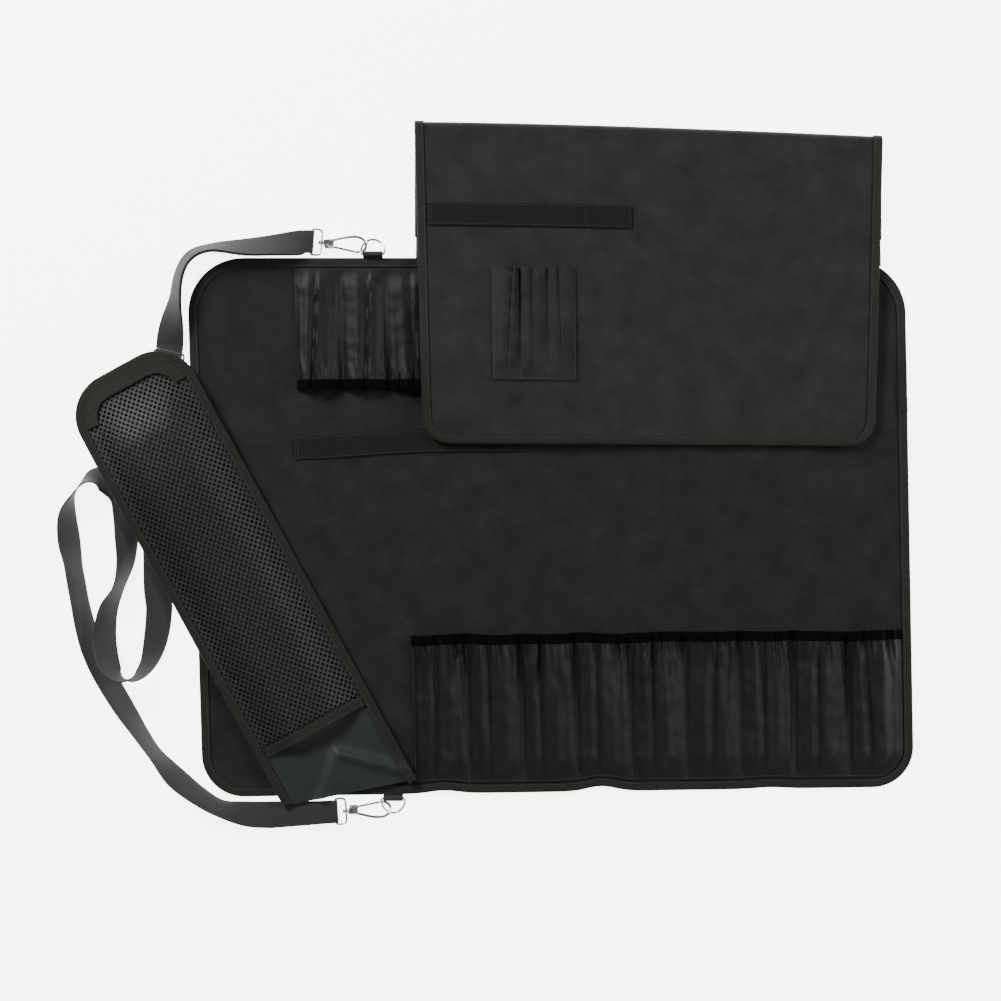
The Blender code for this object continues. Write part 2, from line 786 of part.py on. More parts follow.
def make_cutlery_holders():
    """The elastic band and the three small pockets on the folded flap."""
    level = LIGHT_CLOTH + HOLDER_GAP
    left = -FLAP_WIDTH / 2 + BINDING_WIDTH + HEM_GAP
    middle = FLAP_TOTAL - CUTLERY_BAND_UP
    rows = []
    for side in (-0.5, 0.5):
        rows.append([
            (left + CUTLERY_BAND_LENGTH * step / 6, middle + side * CUTLERY_BAND_WIDTH, level)
            for step in range(7)
        ])
    thicken("cutlery_band", grid(rows), BAND_ELASTIC, on_flap, "band")
    hem = FLAP_TOTAL - CUTLERY_UP
    corner = -FLAP_WIDTH / 2 + CUTLERY_LEFT
    rows = []
    for share, high in POCKET_FALL:
        columns = pocket_columns(CUTLERY_COUNT, CUTLERY_WIDTH, CUTLERY_PLEATS, share)
        up = hem - CUTLERY_DEPTH * (1.0 - share)
        rows.append([(corner + x, up, level + CUTLERY_HEIGHT * high * z) for x, z in columns])
    thicken("cutlery_pocket", grid(rows), LIGHT_CLOTH, on_flap, "flap")


# The pouch

def pouch_end(x, share):
    """Length down the pouch at a share of it: its lower end is cut at a slant."""
    return POUCH_LENGTH * share + POUCH_SLANT * x * smooth((share - 0.6) / 0.4)


def net_lengths():
    """Lengths down the pouch at which its mesh has a row of corners."""
    first = BINDING_WIDTH + POUCH_END_BAND
    last = POUCH_MOUTH - ELASTIC_WIDTH - GAP
    return [first + (last - first) * row / NET_ROWS for row in range(NET_ROWS + 1)]


def pouch_shares():
    """Rows below the round corners, as shares of the pouch's length, the mesh's rows among them."""
    shares = [length / POUCH_LENGTH for length in net_lengths() if length > POUCH_RADIUS + GAP]
    return shares + [(shares[-1] + 1.0) / 2, 1.0]


def pouch_path():
    """The bound edge of the pouch: up its left side, round the top end and down its right."""
    half = POUCH_WIDTH / 2
    path = [(-half, pouch_end(-half, share), 1.0, 0.0) for share in reversed(pouch_shares())]
    straight = len(path)
    for angle in POUCH_TURNS:
        turn = math.radians(angle)
        out = (-math.cos(turn), -math.sin(turn))
        path.append((
            -half + POUCH_RADIUS + POUCH_RADIUS * out[0], POUCH_RADIUS + POUCH_RADIUS * out[1],
            -out[0], -out[1],
        ))
    right = [(half, pouch_end(half, share), -1.0, 0.0) for share in pouch_shares()]
    round_top = [(-x, length, -nx, ny) for x, length, nx, ny in reversed(path[straight:])]
    crown = [((half - POUCH_RADIUS) * step / 3, 0.0, 0.0, 1.0) for step in range(-2, 3)]
    return path + crown + round_top + right


def pouch_half(length, inset):
    """Half of the pouch's width at a length, inside its round top corners."""
    radius = POUCH_RADIUS - inset
    past = POUCH_RADIUS - length
    if past <= 0:
        return POUCH_WIDTH / 2 - inset
    return POUCH_WIDTH / 2 - POUCH_RADIUS + math.sqrt(max(radius * radius - past * past, 0.0))


def net_height(x, length):
    """Height of the mesh over the pouch's back: sewn at the edges, full in the middle."""
    inner = BINDING_WIDTH + GAP
    side = smooth((pouch_half(length, 0.0) - inner - abs(x)) / (POUCH_WIDTH * 0.30))
    end = smooth((length - inner - POUCH_END_BAND) / (POUCH_WIDTH * 0.45))
    return LIGHT_CLOTH + GAP + POUCH_BULGE * side * end


def make_pouch_back():
    """The pouch's lined back, which reaches past the mouth of the mesh."""
    inset = TAPE + GAP
    radius = POUCH_RADIUS - inset
    lengths = [POUCH_RADIUS - radius * math.cos(math.radians(angle)) for angle in POUCH_TURNS]
    rows = []
    for length in lengths:
        half = pouch_half(length, inset)
        rows.append([(half * step / 3, length, 0.0) for step in range(-3, 4)])
    half = POUCH_WIDTH / 2 - inset
    for share in pouch_shares():
        rows.append([
            (half * step / 3, pouch_end(half * step / 3, share), 0.0) for step in range(-3, 4)
        ])
    thicken("pouch_back", grid(rows), LIGHT_CLOTH, on_pouch, "lining")


def make_pouch_net():
    """The mesh front: staggered diamonds cut through, with a whole margin round them."""
    inset = TAPE + GAP
    rows = []
    for length in net_lengths():
        half = pouch_half(length, BINDING_WIDTH + NET_STRAND / 2)
        rows.append([(half * (2 * step / NET_COLUMNS - 1), length, 0.0) for step in range(NET_COLUMNS + 1)])
    net = grid(rows)
    seams = [edge for edge in net.edges if len(edge.link_faces) == 2]
    bmesh.ops.poke(net, faces=net.faces[:])
    bmesh.ops.dissolve_edges(net, edges=seams, use_verts=False)
    diamonds = [face for face in net.faces if len(face.verts) == 4]
    bmesh.ops.inset_individual(net, faces=diamonds, thickness=NET_STRAND, use_even_offset=True)
    bmesh.ops.delete(net, geom=diamonds, context="FACES_ONLY")
    sides = [[], []]
    for vertex in net.verts:
        limit = pouch_half(vertex.co.y, BINDING_WIDTH + NET_STRAND / 2)
        if abs(abs(vertex.co.x) - limit) < 1e-6 and any(edge.is_boundary for edge in vertex.link_edges):
            sides[0 if vertex.co.x < 0 else 1].append(vertex)
    first = min(vertex.co.y for vertex in net.verts)
    crown = sorted((v for v in net.verts if abs(v.co.y - first) < 1e-6), key=lambda v: v.co.x)
    left = sorted(sides[0], key=lambda v: -v.co.y)
    right = sorted(sides[1], key=lambda v: v.co.y)
    inner = left + [v for v in crown if v not in left and v not in right] + right
    outer = []
    for vertex in inner:
        x, length, _ = vertex.co
        if vertex in crown:
            turn = x / max(v.co.x for v in crown) * math.radians(62)
            reach = POUCH_RADIUS - inset - HEM_GAP - TAPE
            if abs(turn) < math.radians(10):
                spot = (x * 0.9, inset + HEM_GAP, 0.0)
            else:
                sign = math.copysign(1.0, x)
                spot = (
                    sign * (POUCH_WIDTH / 2 - POUCH_RADIUS + reach * math.sin(abs(turn))),
                    POUCH_RADIUS - reach * math.cos(turn), 0.0,
                )
        else:
            spot = (math.copysign(pouch_half(length, inset), x), length, 0.0)
        outer.append(net.verts.new(spot))
    for a, b, c, d in zip(inner, inner[1:], outer[1:], outer):
        net.faces.new((a, b, c, d))
    for vertex in net.verts:
        vertex.co.z = net_height(vertex.co.x, vertex.co.y)
    thicken("pouch_net", net, LIGHT_CLOTH, on_pouch, "net")


def make_pouch_trims():
    """The tape round the pouch, the one across its mouth and the cloth at its top end."""
    bind("pouch_binding", pouch_path(), 2 * LIGHT_CLOTH + GAP, on_pouch, False)
    inner = BINDING_WIDTH + GAP
    columns = [step / 10 * 2 - 1 for step in range(11)]
    half = POUCH_WIDTH / 2 - BINDING_WIDTH - HEM_GAP
    mouth = [
        [(column * half, length, net_height(column * half, length)) for column in columns]
        for length in (POUCH_MOUTH - ELASTIC_WIDTH, POUCH_MOUTH)
    ]
    thicken("pouch_mouth_binding", grid(mouth), ELASTIC, on_pouch, "binding")
    top = [spot for spot in pouch_path() if spot[1] < POUCH_RADIUS - GAP]
    level = 2 * LIGHT_CLOTH + GAP + 2 * HOLDER_GAP
    rows = [
        [(x + nx * inset, length + ny * inset, level) for x, length, nx, ny in top]
        for inset in (inner, inner + POUCH_END_BAND)
    ]
    thicken("pouch_end_band", grid(rows), LIGHT_CLOTH, on_pouch, "binding")


# The strap and its metal

def end_place(end):
    """The ring bar's middle and the swivel's matrix of one end, from its row in the table."""
    edge = on_panel(end.along * PANEL_WIDTH, end.side * PANEL_HEIGHT / 2, 0.0)
    bar = Vector((edge.x, edge.y + end.side * end.outside, end.ring_height))
    swivel = bar + Vector((end.swivel_along, end.side * end.swivel_out, 0.0))
    swivel.z = end.hook_height
    turn = Matrix.Rotation(math.radians(end.side * end.heading), 4, "Z")
    return bar, Matrix.Translation(swivel) @ turn


def make_eye(end):
    """The swivel eye: a wire loop in the strap's end and the barrel on its cross wire."""
    name = end.name
    _, place = end_place(end)
    half = EYE_SPREAD / 2
    side = half - EYE_CORNER
    back = -EYE_DEPTH
    path = [(0.0, BARREL_RADIUS * 0.7), (0.0, side)]
    for angle in (30, 60, 90):
        turn = math.radians(angle)
        path.append((EYE_CORNER * (math.cos(turn) - 1.0), side + EYE_CORNER * math.sin(turn)))
    path += [(back + WIRE, half), (back + BEND, half - BEND), (back, half - WIRE)]
    path = path + [(x, -y) for x, y in reversed(path)]
    loop = wire(name + "_eye_wire", [(x, y, 0.0) for x, y in path], WIRE / 2, False, "nickel")
    reach = BARREL_LENGTH / 2
    barrel = rod(name + "_barrel", "nickel", (-reach, 0, 0), (reach, 0, 0), BARREL_RADIUS)
    bore = rod(name + "_bore", "nickel", (-2 * reach, 0, 0), (2 * reach, 0, 0), STEM_RADIUS + GAP)
    eye = combine(name + "_eye_solid", loop, [barrel], "UNION")
    eye = combine(name + "_strap_eye", eye, [bore], "DIFFERENCE")
    return move(eye, place)


def make_hook(end):
    """The snap hook: stem with its head, body with two cheeks and a pin, and bent wire."""
    name, side = end.name, end.side
    _, place = end_place(end)
    place = place @ Matrix.Rotation(side * HOOK_ROLL, 4, "X")
    head = -BARREL_LENGTH / 2 - GAP
    neck = BARREL_LENGTH / 2 + GAP
    pivot = Vector((GATE_PIVOT[0], side * GATE_PIVOT[1], 0.0))
    cheek_low = GATE_HALF + GAP
    cheek_high = cheek_low + CHEEK
    body = sorted((-side * BODY_GATE_SIDE, side * BODY_ARM_SIDE))
    cheek = sorted((side * (GATE_PIVOT[1] - CHEEK_GATE_SIDE), side * BODY_ARM_SIDE))
    half_pin = Vector((0, 0, cheek_high - PIN_INSET))
    bend = [(x, side * y, 0.0) for x, y in catmull(HOOK_WIRE_PATH, 2)]
    arm = wire(name + "_arm", bend, HOOK_WIRE / 2, False, "nickel")
    pieces = [
        rod(name + "_stem", "nickel", (head - GAP, 0, 0), (neck + STEM_OVERLAP, 0, 0), STEM_RADIUS, 10),
        rod(name + "_head", "nickel", (head - HEAD_LENGTH, 0, 0), (head, 0, 0), HEAD_RADIUS),
        block(
            name + "_body", "nickel", (neck, body[0], -cheek_high),
            (GATE_PIVOT[0] - GATE_BARREL - GAP, body[1], cheek_high),
        ),
    ]
    for sign in (-1, 1):
        low, high = sorted((sign * cheek_low, sign * cheek_high))
        pieces.append(block(
            name + "_cheek", "nickel", (neck + CHEEK_ROOT, cheek[0], low),
            (GATE_PIVOT[0] + CHEEK_PAST, cheek[1], high),
        ))
    pieces.append(rod(name + "_pin", "nickel", pivot - half_pin, pivot + half_pin, PIN_RADIUS, 10))
    hook = combine(name + "_hook", arm, pieces, "UNION")
    return seat(move(hook, place), place.translation)


def make_gate(end):
    """The spring gate: a barrel on the pin and a straight bar to the hook's nose."""
    name, side = end.name, end.side
    _, place = end_place(end)
    place = place @ Matrix.Rotation(side * HOOK_ROLL, 4, "X")
    pivot = Vector((GATE_PIVOT[0], side * GATE_PIVOT[1], 0.0))
    tip = Vector((GATE_END[0], side * GATE_END[1], 0.0))
    along = (tip - pivot).normalized()
    up = Vector((0, 0, GATE_HALF))
    bar = rod(name + "_bar", "nickel", pivot + along * BAR_ROOT, tip, GATE_HALF, 8)
    barrel = rod(name + "_gate_barrel", "nickel", pivot - up, pivot + up, GATE_BARREL)
    bore = rod(name + "_gate_bore", "nickel", pivot - 2 * up, pivot + 2 * up, PIN_RADIUS + GAP, 10)
    gate = combine(name + "_gate_solid", bar, [barrel], "UNION")
    gate = combine(name + "_gate", gate, [bore], "DIFFERENCE")
    return seat(move(gate, place), place @ pivot)


def make_ring(end):
    """The D-ring: a straight bar in the tab and a bow that the hook is clipped to."""
    name, side = end.name, end.side
    bar, _ = end_place(end)
    half = (RING_WIDTH - RING_WIRE) / 2
    reach = RING_DEPTH - RING_WIRE / 2
    corner = RING_CORNER
    path = [(-half + corner, 0.0), (half - corner, 0.0), (half - BEND, BEND)]
    for step in range(0, 13):
        angle = math.pi * step / 12
        path.append((half * math.cos(angle), corner + (reach - corner) * math.sin(angle)))
    path.append((-half + BEND, BEND))
    slope = math.radians(end.slope)
    points = [(x, side * y * math.cos(slope), -y * math.sin(slope)) for x, y in path]
    ring = wire(name + "_d_ring", points, RING_WIRE / 2, True, "nickel")
    return move(ring, Matrix.Translation(bar))


def make_tab(end):
    """The webbing tab: a loop round the ring's bar, its two legs under the panel's edge."""
    name, side = end.name, end.side
    bar, _ = end_place(end)
    radius = RING_WIRE / 2 + GAP
    seam = GAP + TAB_CLOTH - end.outside
    level = PANEL_CLOTH / 2 + TAPE + GAP - end.ring_height
    inner = [(seam, level + GAP / 2)]
    for step in range(11):
        angle = math.radians(160.0 - 260.0 * step / 10)
        inner.append((radius * math.cos(angle), radius * math.sin(angle)))
    inner.append((seam, level - GAP / 2))
    half = TAB_WIDTH / 2
    rows = [[(x, side * y, z) for x in (-half, half)] for y, z in inner]
    tab = webbing(name + "_ring_tab", rows, TAB_CLOTH, side)
    return move(tab, Matrix.Translation(bar))


def route_rows(layers):
    """Middle of the strap along its way, smooth, with the turn of its cloth in degrees."""
    rows = []
    for number, (across, up, turn, lift) in enumerate(STRAP_ROUTE):
        angle = math.radians(turn)
        doubled = layers if number <= SLIDER_ROW else 0.0
        height = abs(math.sin(angle)) * STRAP_WIDTH / 2
        height += abs(math.cos(angle)) * (STRAP_CLOTH / 2 + doubled) + STRAP_CLOTH / 3
        rows.append((across * PANEL_WIDTH, up * PANEL_HEIGHT, height + lift * STRAP_WIDTH, turn))
    return rows


def webbing(name, rows, thickness, offset):
    """Webbing through rows of points: an open surface, thickened to one or both sides."""
    built = grid(rows)
    mesh = bpy.data.meshes.new(name + "_flat")
    built.to_mesh(mesh)
    built.free()
    sheet = bpy.data.objects.new(name + "_flat", mesh)
    bpy.context.scene.collection.objects.link(sheet)
    solidify = sheet.modifiers.new("thickness", "SOLIDIFY")
    solidify.thickness = thickness
    solidify.offset = offset
    return keep(name, evaluated(sheet), "webbing")


def eye_wrap(end):
    """Frames of the strap round an eye's bar, from below it to above, and the bar's place."""
    _, place = end_place(end)
    centre = place @ Vector((-EYE_DEPTH, 0.0, 0.0))
    back = (place.to_3x3() @ Vector((-1.0, 0.0, 0.0))).normalized()
    half = (place.to_3x3() @ Vector((0.0, 1.0, 0.0))).normalized() * STRAP_END_WIDTH / 2
    radius = WIRE / 2 + GAP + STRAP_CLOTH / 2
    frames = [(centre + back * 2 * WIRE - Vector((0, 0, radius)), half)]
    for step in range(5):
        turn = math.radians(-90.0 + 45.0 * step)
        spot = centre - back * radius * math.cos(turn) + Vector((0, 0, radius * math.sin(turn)))
        frames.append((spot, half))
    frames.append((centre + back * 2 * WIRE + Vector((0, 0, radius)), half))
    return frames, centre, back


def route_frames(offset, first, last):
    """Frames of the strap between two rows of its route, set off along its own face."""
    rows = catmull(route_rows((STRAP_CLOTH + GAP) / 2)[first:last + 1], STRAP_STEPS)
    frames = []
    for number, (x, y, z, turn) in enumerate(rows):
        before = Vector(rows[max(number - 1, 0)][:3])
        after = Vector(rows[min(number + 1, len(rows) - 1)][:3])
        way = (after - before).normalized()
        left = Vector((-way.y, way.x, 0.0)).normalized()
        raised = way.cross(left).normalized() * -1.0
        if raised.z < 0:
            raised = -raised
        angle = math.radians(turn)
        half = left * math.cos(angle) + raised * math.sin(angle)
        face = raised * math.cos(angle) - left * math.sin(angle)
        frames.append((Vector((x, y, z)) + face * offset, half * STRAP_WIDTH / 2))
    return frames


def make_strap():
    """The shoulder strap: doubled from the slider round the top eye, then on to the other."""
    layer = (STRAP_CLOTH + GAP) / 2
    top, bottom = ENDS
    under = route_frames(-layer, 0, SLIDER_ROW)[:-1]
    over = route_frames(+layer, 0, SLIDER_ROW)[:-1]
    rest = route_frames(0.0, SLIDER_ROW, len(STRAP_ROUTE) - 1)
    middle, way, left = slider_place()
    half = left * STRAP_WIDTH / 2
    radius = WIRE / 2 + GAP + STRAP_CLOTH / 2
    reach = SLIDER_LENGTH / 2
    start = []
    for step in range(5):
        turn = math.radians(90.0 - 45.0 * step)
        rise = Vector((0, 0, radius * math.sin(turn)))
        start.append((middle + way * radius * math.cos(turn) + rise, half))
    low = STRAP_CLOTH / 2
    above = middle + Vector((0, 0, radius + STRAP_CLOTH + GAP))
    beyond = middle + way * reach
    beyond.z = low
    wrap, _, _ = eye_wrap(top)
    frames = start + list(reversed(under)) + [(spot, -side) for spot, side in wrap] + over
    frames += [(above - way * WIRE / 2, half), (above + way * WIRE, half), (beyond, half)]
    for spot, side in rest:
        if (spot - middle).dot(way) > 1.5 * reach or spot.y < middle.y - 2 * reach:
            frames.append((spot, side))
    final, centre, back = eye_wrap(bottom)
    frames += list(reversed(final))
    side = final[0][1]
    for share in (0.5, 0.8, 1.0):
        spot = centre + back * STRAP_TUCK * share
        spot.z = low + (centre.z - radius - low) * (1.0 - smooth(share / 0.8))
        frames.append((spot, side))
    rows = [[spot - side, spot + side] for spot, side in frames]
    webbing("shoulder_strap", rows, STRAP_CLOTH, 0.0)


def slider_place():
    """The slider's middle, the strap's way there and the direction to its left."""
    rows = route_rows(0.0)
    middle = Vector(rows[SLIDER_ROW][:3])
    middle.z = 2.25 * STRAP_CLOTH + 3 * GAP + WIRE / 2
    way = Vector(rows[SLIDER_ROW + 1][:3]) - Vector(rows[SLIDER_ROW - 1][:3])
    way.z = 0.0
    way.normalize()
    return middle, way, Vector((-way.y, way.x, 0.0))


def make_slider():
    """The wire slider: a rounded frame with a bar across its middle."""
    middle, way, left = slider_place()
    across = SLIDER_WIDTH / 2 - WIRE / 2
    along = SLIDER_LENGTH / 2
    corner = SLIDER_CORNER
    path = []
    for x, y, start in ((1, 1, 0), (-1, 1, 90), (-1, -1, 180), (1, -1, 270)):
        for angle in (0, 30, 60, 90):
            turn = math.radians(start + angle)
            path.append((
                x * (along - corner) + corner * math.cos(turn),
                y * (across - corner) + corner * math.sin(turn), 0.0,
            ))
    frame = wire("slider_frame", path, WIRE / 2, True, "nickel")
    bar = rod("slider_bar", "nickel", (0, -across, 0), (0, across, 0), WIRE / 2, 8)
    slider = combine("strap_slider", frame, [bar], "UNION")
    turn = Matrix((way, left, Vector((0, 0, 1)))).transposed().to_4x4()
    move(slider, Matrix.Translation(middle) @ turn)


def prepare():
    """Clear the scene and make the roll's collection."""
    for leftover in list(bpy.data.objects):
        bpy.data.objects.remove(leftover, do_unlink=True)
    collection = bpy.data.collections.new("knife_roll")
    bpy.context.scene.collection.children.link(collection)


def main():
    """Build every piece."""
    prepare()
    make_panel()
    make_overlap()
    make_pockets()
    make_blade_band()
    make_flap()
    make_cutlery_holders()
    make_pouch_back()
    make_pouch_net()
    make_pouch_trims()
    for end in ENDS:
        make_eye(end)
        make_hook(end)
        make_gate(end)
        make_ring(end)
        make_tab(end)
    make_strap()
    make_slider()


main()
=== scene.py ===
"""Looks of the chef's knife roll: its cloth, gathers, folds, mesh, webbing, seams and metal.

Every soft piece is laid out flat in its own flat coordinates, given its folds there, then
placed by the drape that its cloth has on the frame. Units are metres and +Z is up.
"""

import logging
import math
from collections.abc import Callable, Iterable, Mapping, Sequence
from dataclasses import dataclass
from enum import Enum

import bmesh
import bpy
from mathutils import Matrix, Vector, noise


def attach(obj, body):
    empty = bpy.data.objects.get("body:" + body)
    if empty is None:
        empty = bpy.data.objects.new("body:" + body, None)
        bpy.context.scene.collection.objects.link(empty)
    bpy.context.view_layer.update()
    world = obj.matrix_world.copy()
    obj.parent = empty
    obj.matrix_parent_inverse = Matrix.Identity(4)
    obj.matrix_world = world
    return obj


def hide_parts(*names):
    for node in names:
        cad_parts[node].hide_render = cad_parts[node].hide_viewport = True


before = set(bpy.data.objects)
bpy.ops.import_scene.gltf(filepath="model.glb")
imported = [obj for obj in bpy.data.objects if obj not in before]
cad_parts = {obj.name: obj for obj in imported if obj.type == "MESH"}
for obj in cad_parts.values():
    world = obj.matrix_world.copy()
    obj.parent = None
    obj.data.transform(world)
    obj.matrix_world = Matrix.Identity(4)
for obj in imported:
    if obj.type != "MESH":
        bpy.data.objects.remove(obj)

LOG = logging.getLogger("knife_roll")
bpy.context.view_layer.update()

Spot = tuple[float, float, float]
Rim = tuple[float, float, float, float]
Place = Callable[[float, float, float], Vector]
Relief = Callable[[float, float], float]

# Clearances and cloths, as on the frame
GAP = 0.0003
PANEL_CLOTH = 0.0015
LIGHT_CLOTH = 0.0010
TAPE = 0.0010
ELASTIC = 0.0024
BAND_ELASTIC = 0.0012
BINDING_WIDTH = 0.009
ELASTIC_WIDTH = 0.010
HEM_GAP = 0.0013
HOLDER_GAP = 0.0007
STITCH_RADIUS = 0.00022
STITCH_LENGTH = 0.0023
STITCH_PITCH = 0.0031
LIFT = 0.0001
SEAM_INSET = 0.0014
TRIM_INSET = 0.0015
SHARP_CLOTH = math.radians(50.0)
SHARP_SHAPE = math.radians(60.0)


class Weave(Enum):
    """How a cloth is made, which sets the pattern of its bump."""

    PLAIN = "plain"
    TWILL = "twill"
    RIB = "rib"
    WEBBING = "webbing"
    SMOOTH = "smooth"


class Body(Enum):
    """The moving bodies of the frame that pieces ride on."""

    ROLL = "roll"
    TOP_HOOK = "top_hook"
    TOP_GATE = "top_gate"
    BOTTOM_HOOK = "bottom_hook"
    BOTTOM_GATE = "bottom_gate"


# Small rules

def smooth(share: float) -> float:
    """Ease from 0 to 1, flat at both ends."""
    share = min(max(share, 0.0), 1.0)
    return share * share * (3.0 - 2.0 * share)


def hill(offset: float, reach: float) -> float:
    """A bump of height 1 that fades to nothing over about two reaches."""
    return math.exp(-((offset / reach) ** 2))


def ripple(x: float, y: float, seed: float) -> float:
    """Smooth repeatable noise between about -1 and 1."""
    return noise.noise(Vector((x, y, seed)))


def read_table(table: Sequence[tuple[float, float]], share: float) -> float:
    """Read a table of (share, value) rows with straight lines between its rows."""
    for (low, first), (high, second) in zip(table, table[1:]):
        if share <= high:
            return first + (second - first) * (share - low) / (high - low)
    return table[-1][1]


def catmull(points: Sequence[Sequence[float]], steps: int) -> list[tuple[float, ...]]:
    """Points on a smooth curve through the given ones.

    Args:
        points: the points to pass through, of any dimension.
        steps: how many points to make for each stretch.

    Returns:
        The curve's points, the last given one among them.
    """
    ends = [points[0]] + list(points) + [points[-1]]
    found: list[tuple[float, ...]] = []
    for a, b, c, d in zip(ends, ends[1:], ends[2:], ends[3:]):
        for step in range(steps):
            t = step / steps
            found.append(tuple(
                0.5 * (2 * q + (r - p) * t + (2 * p - 5 * q + 4 * r - s) * t * t
                       + (3 * q - p - 3 * r + s) * t ** 3)
                for p, q, r, s in zip(a, b, c, d)
            ))
    found.append(tuple(points[-1]))
    return found


def spread(low: float, high: float, pitch: float) -> list[float]:
    """Even places from low to high, about one pitch apart."""
    count = max(int(round((high - low) / pitch)), 1)
    return [low + (high - low) * step / count for step in range(count + 1)]


def arc_lengths(radius: float, start: float, pitch: float) -> list[float]:
    """Lengths at which a round corner from start needs a row, from its straight side to its end."""
    count = max(int(radius * math.pi / 2 / pitch), 6)
    return [start + radius * math.sin(math.pi / 2 * step / count) for step in range(1, count + 1)]


def both_sides(count: int) -> list[float]:
    """Even shares from -1 to 1."""
    return [2.0 * step / count - 1.0 for step in range(count + 1)]


def round_half(width: float, corner: float, past: float, inset: float) -> float:
    """Half of a cloth's width at a place that lies past the start of its round corner."""
    if past <= 0:
        return width / 2 - inset
    radius = corner - inset
    return width / 2 - corner + math.sqrt(max(radius * radius - past * past, 0.0))


def arc(x: float, y: float, radius: float, start: float, end: float, steps: int) -> list[Rim]:
    """Points round a corner's middle, between two angles in degrees, with inward normals."""
    spots = []
    for step in range(steps + 1):
        angle = math.radians(start + (end - start) * step / steps)
        out = (math.cos(angle), math.sin(angle))
        spots.append((x + radius * out[0], y + radius * out[1], -out[0], -out[1]))
    return spots


def run_lengths(points: Sequence[Sequence[float]]) -> list[float]:
    """How far along a line of points each point lies."""
    found = [0.0]
    for a, b in zip(points, points[1:]):
        found.append(found[-1] + ((b - a).length if isinstance(a, Vector) else math.dist(a, b)))
    return found


# Nodes and finishes

def feed(tree: bpy.types.NodeTree, node: bpy.types.Node, inputs: Mapping[str | int, object]) -> None:
    """Set a node's inputs, each to a value or to the socket that feeds it."""
    for key, value in inputs.items():
        if isinstance(value, bpy.types.NodeSocket):
            tree.links.new(value, node.inputs[key])
        else:
            node.inputs[key].default_value = value


def add_node(tree: bpy.types.NodeTree, kind: str, output: str,
             inputs: Mapping[str | int, object] | None = None, **settings: object) -> bpy.types.NodeSocket:
    """Add a node to a tree.

    Args:
        tree: the tree that gets it.
        kind: its type.
        output: the name of the output that is wanted.
        inputs: what its inputs are set to or fed by.
        settings: its own properties.

    Returns:
        The output.
    """
    node = tree.nodes.new(kind)
    for key, value in settings.items():
        setattr(node, key, value)
    feed(tree, node, inputs or {})
    return node.outputs[output]


def new_material(name: str, colour: Spot) -> tuple[bpy.types.Material, bpy.types.Node]:
    """A new node material and its Principled shader."""
    made = bpy.data.materials.new(name)
    made.use_nodes = True
    made.diffuse_color = (*colour, 1.0)
    return made, made.node_tree.nodes["Principled BSDF"]


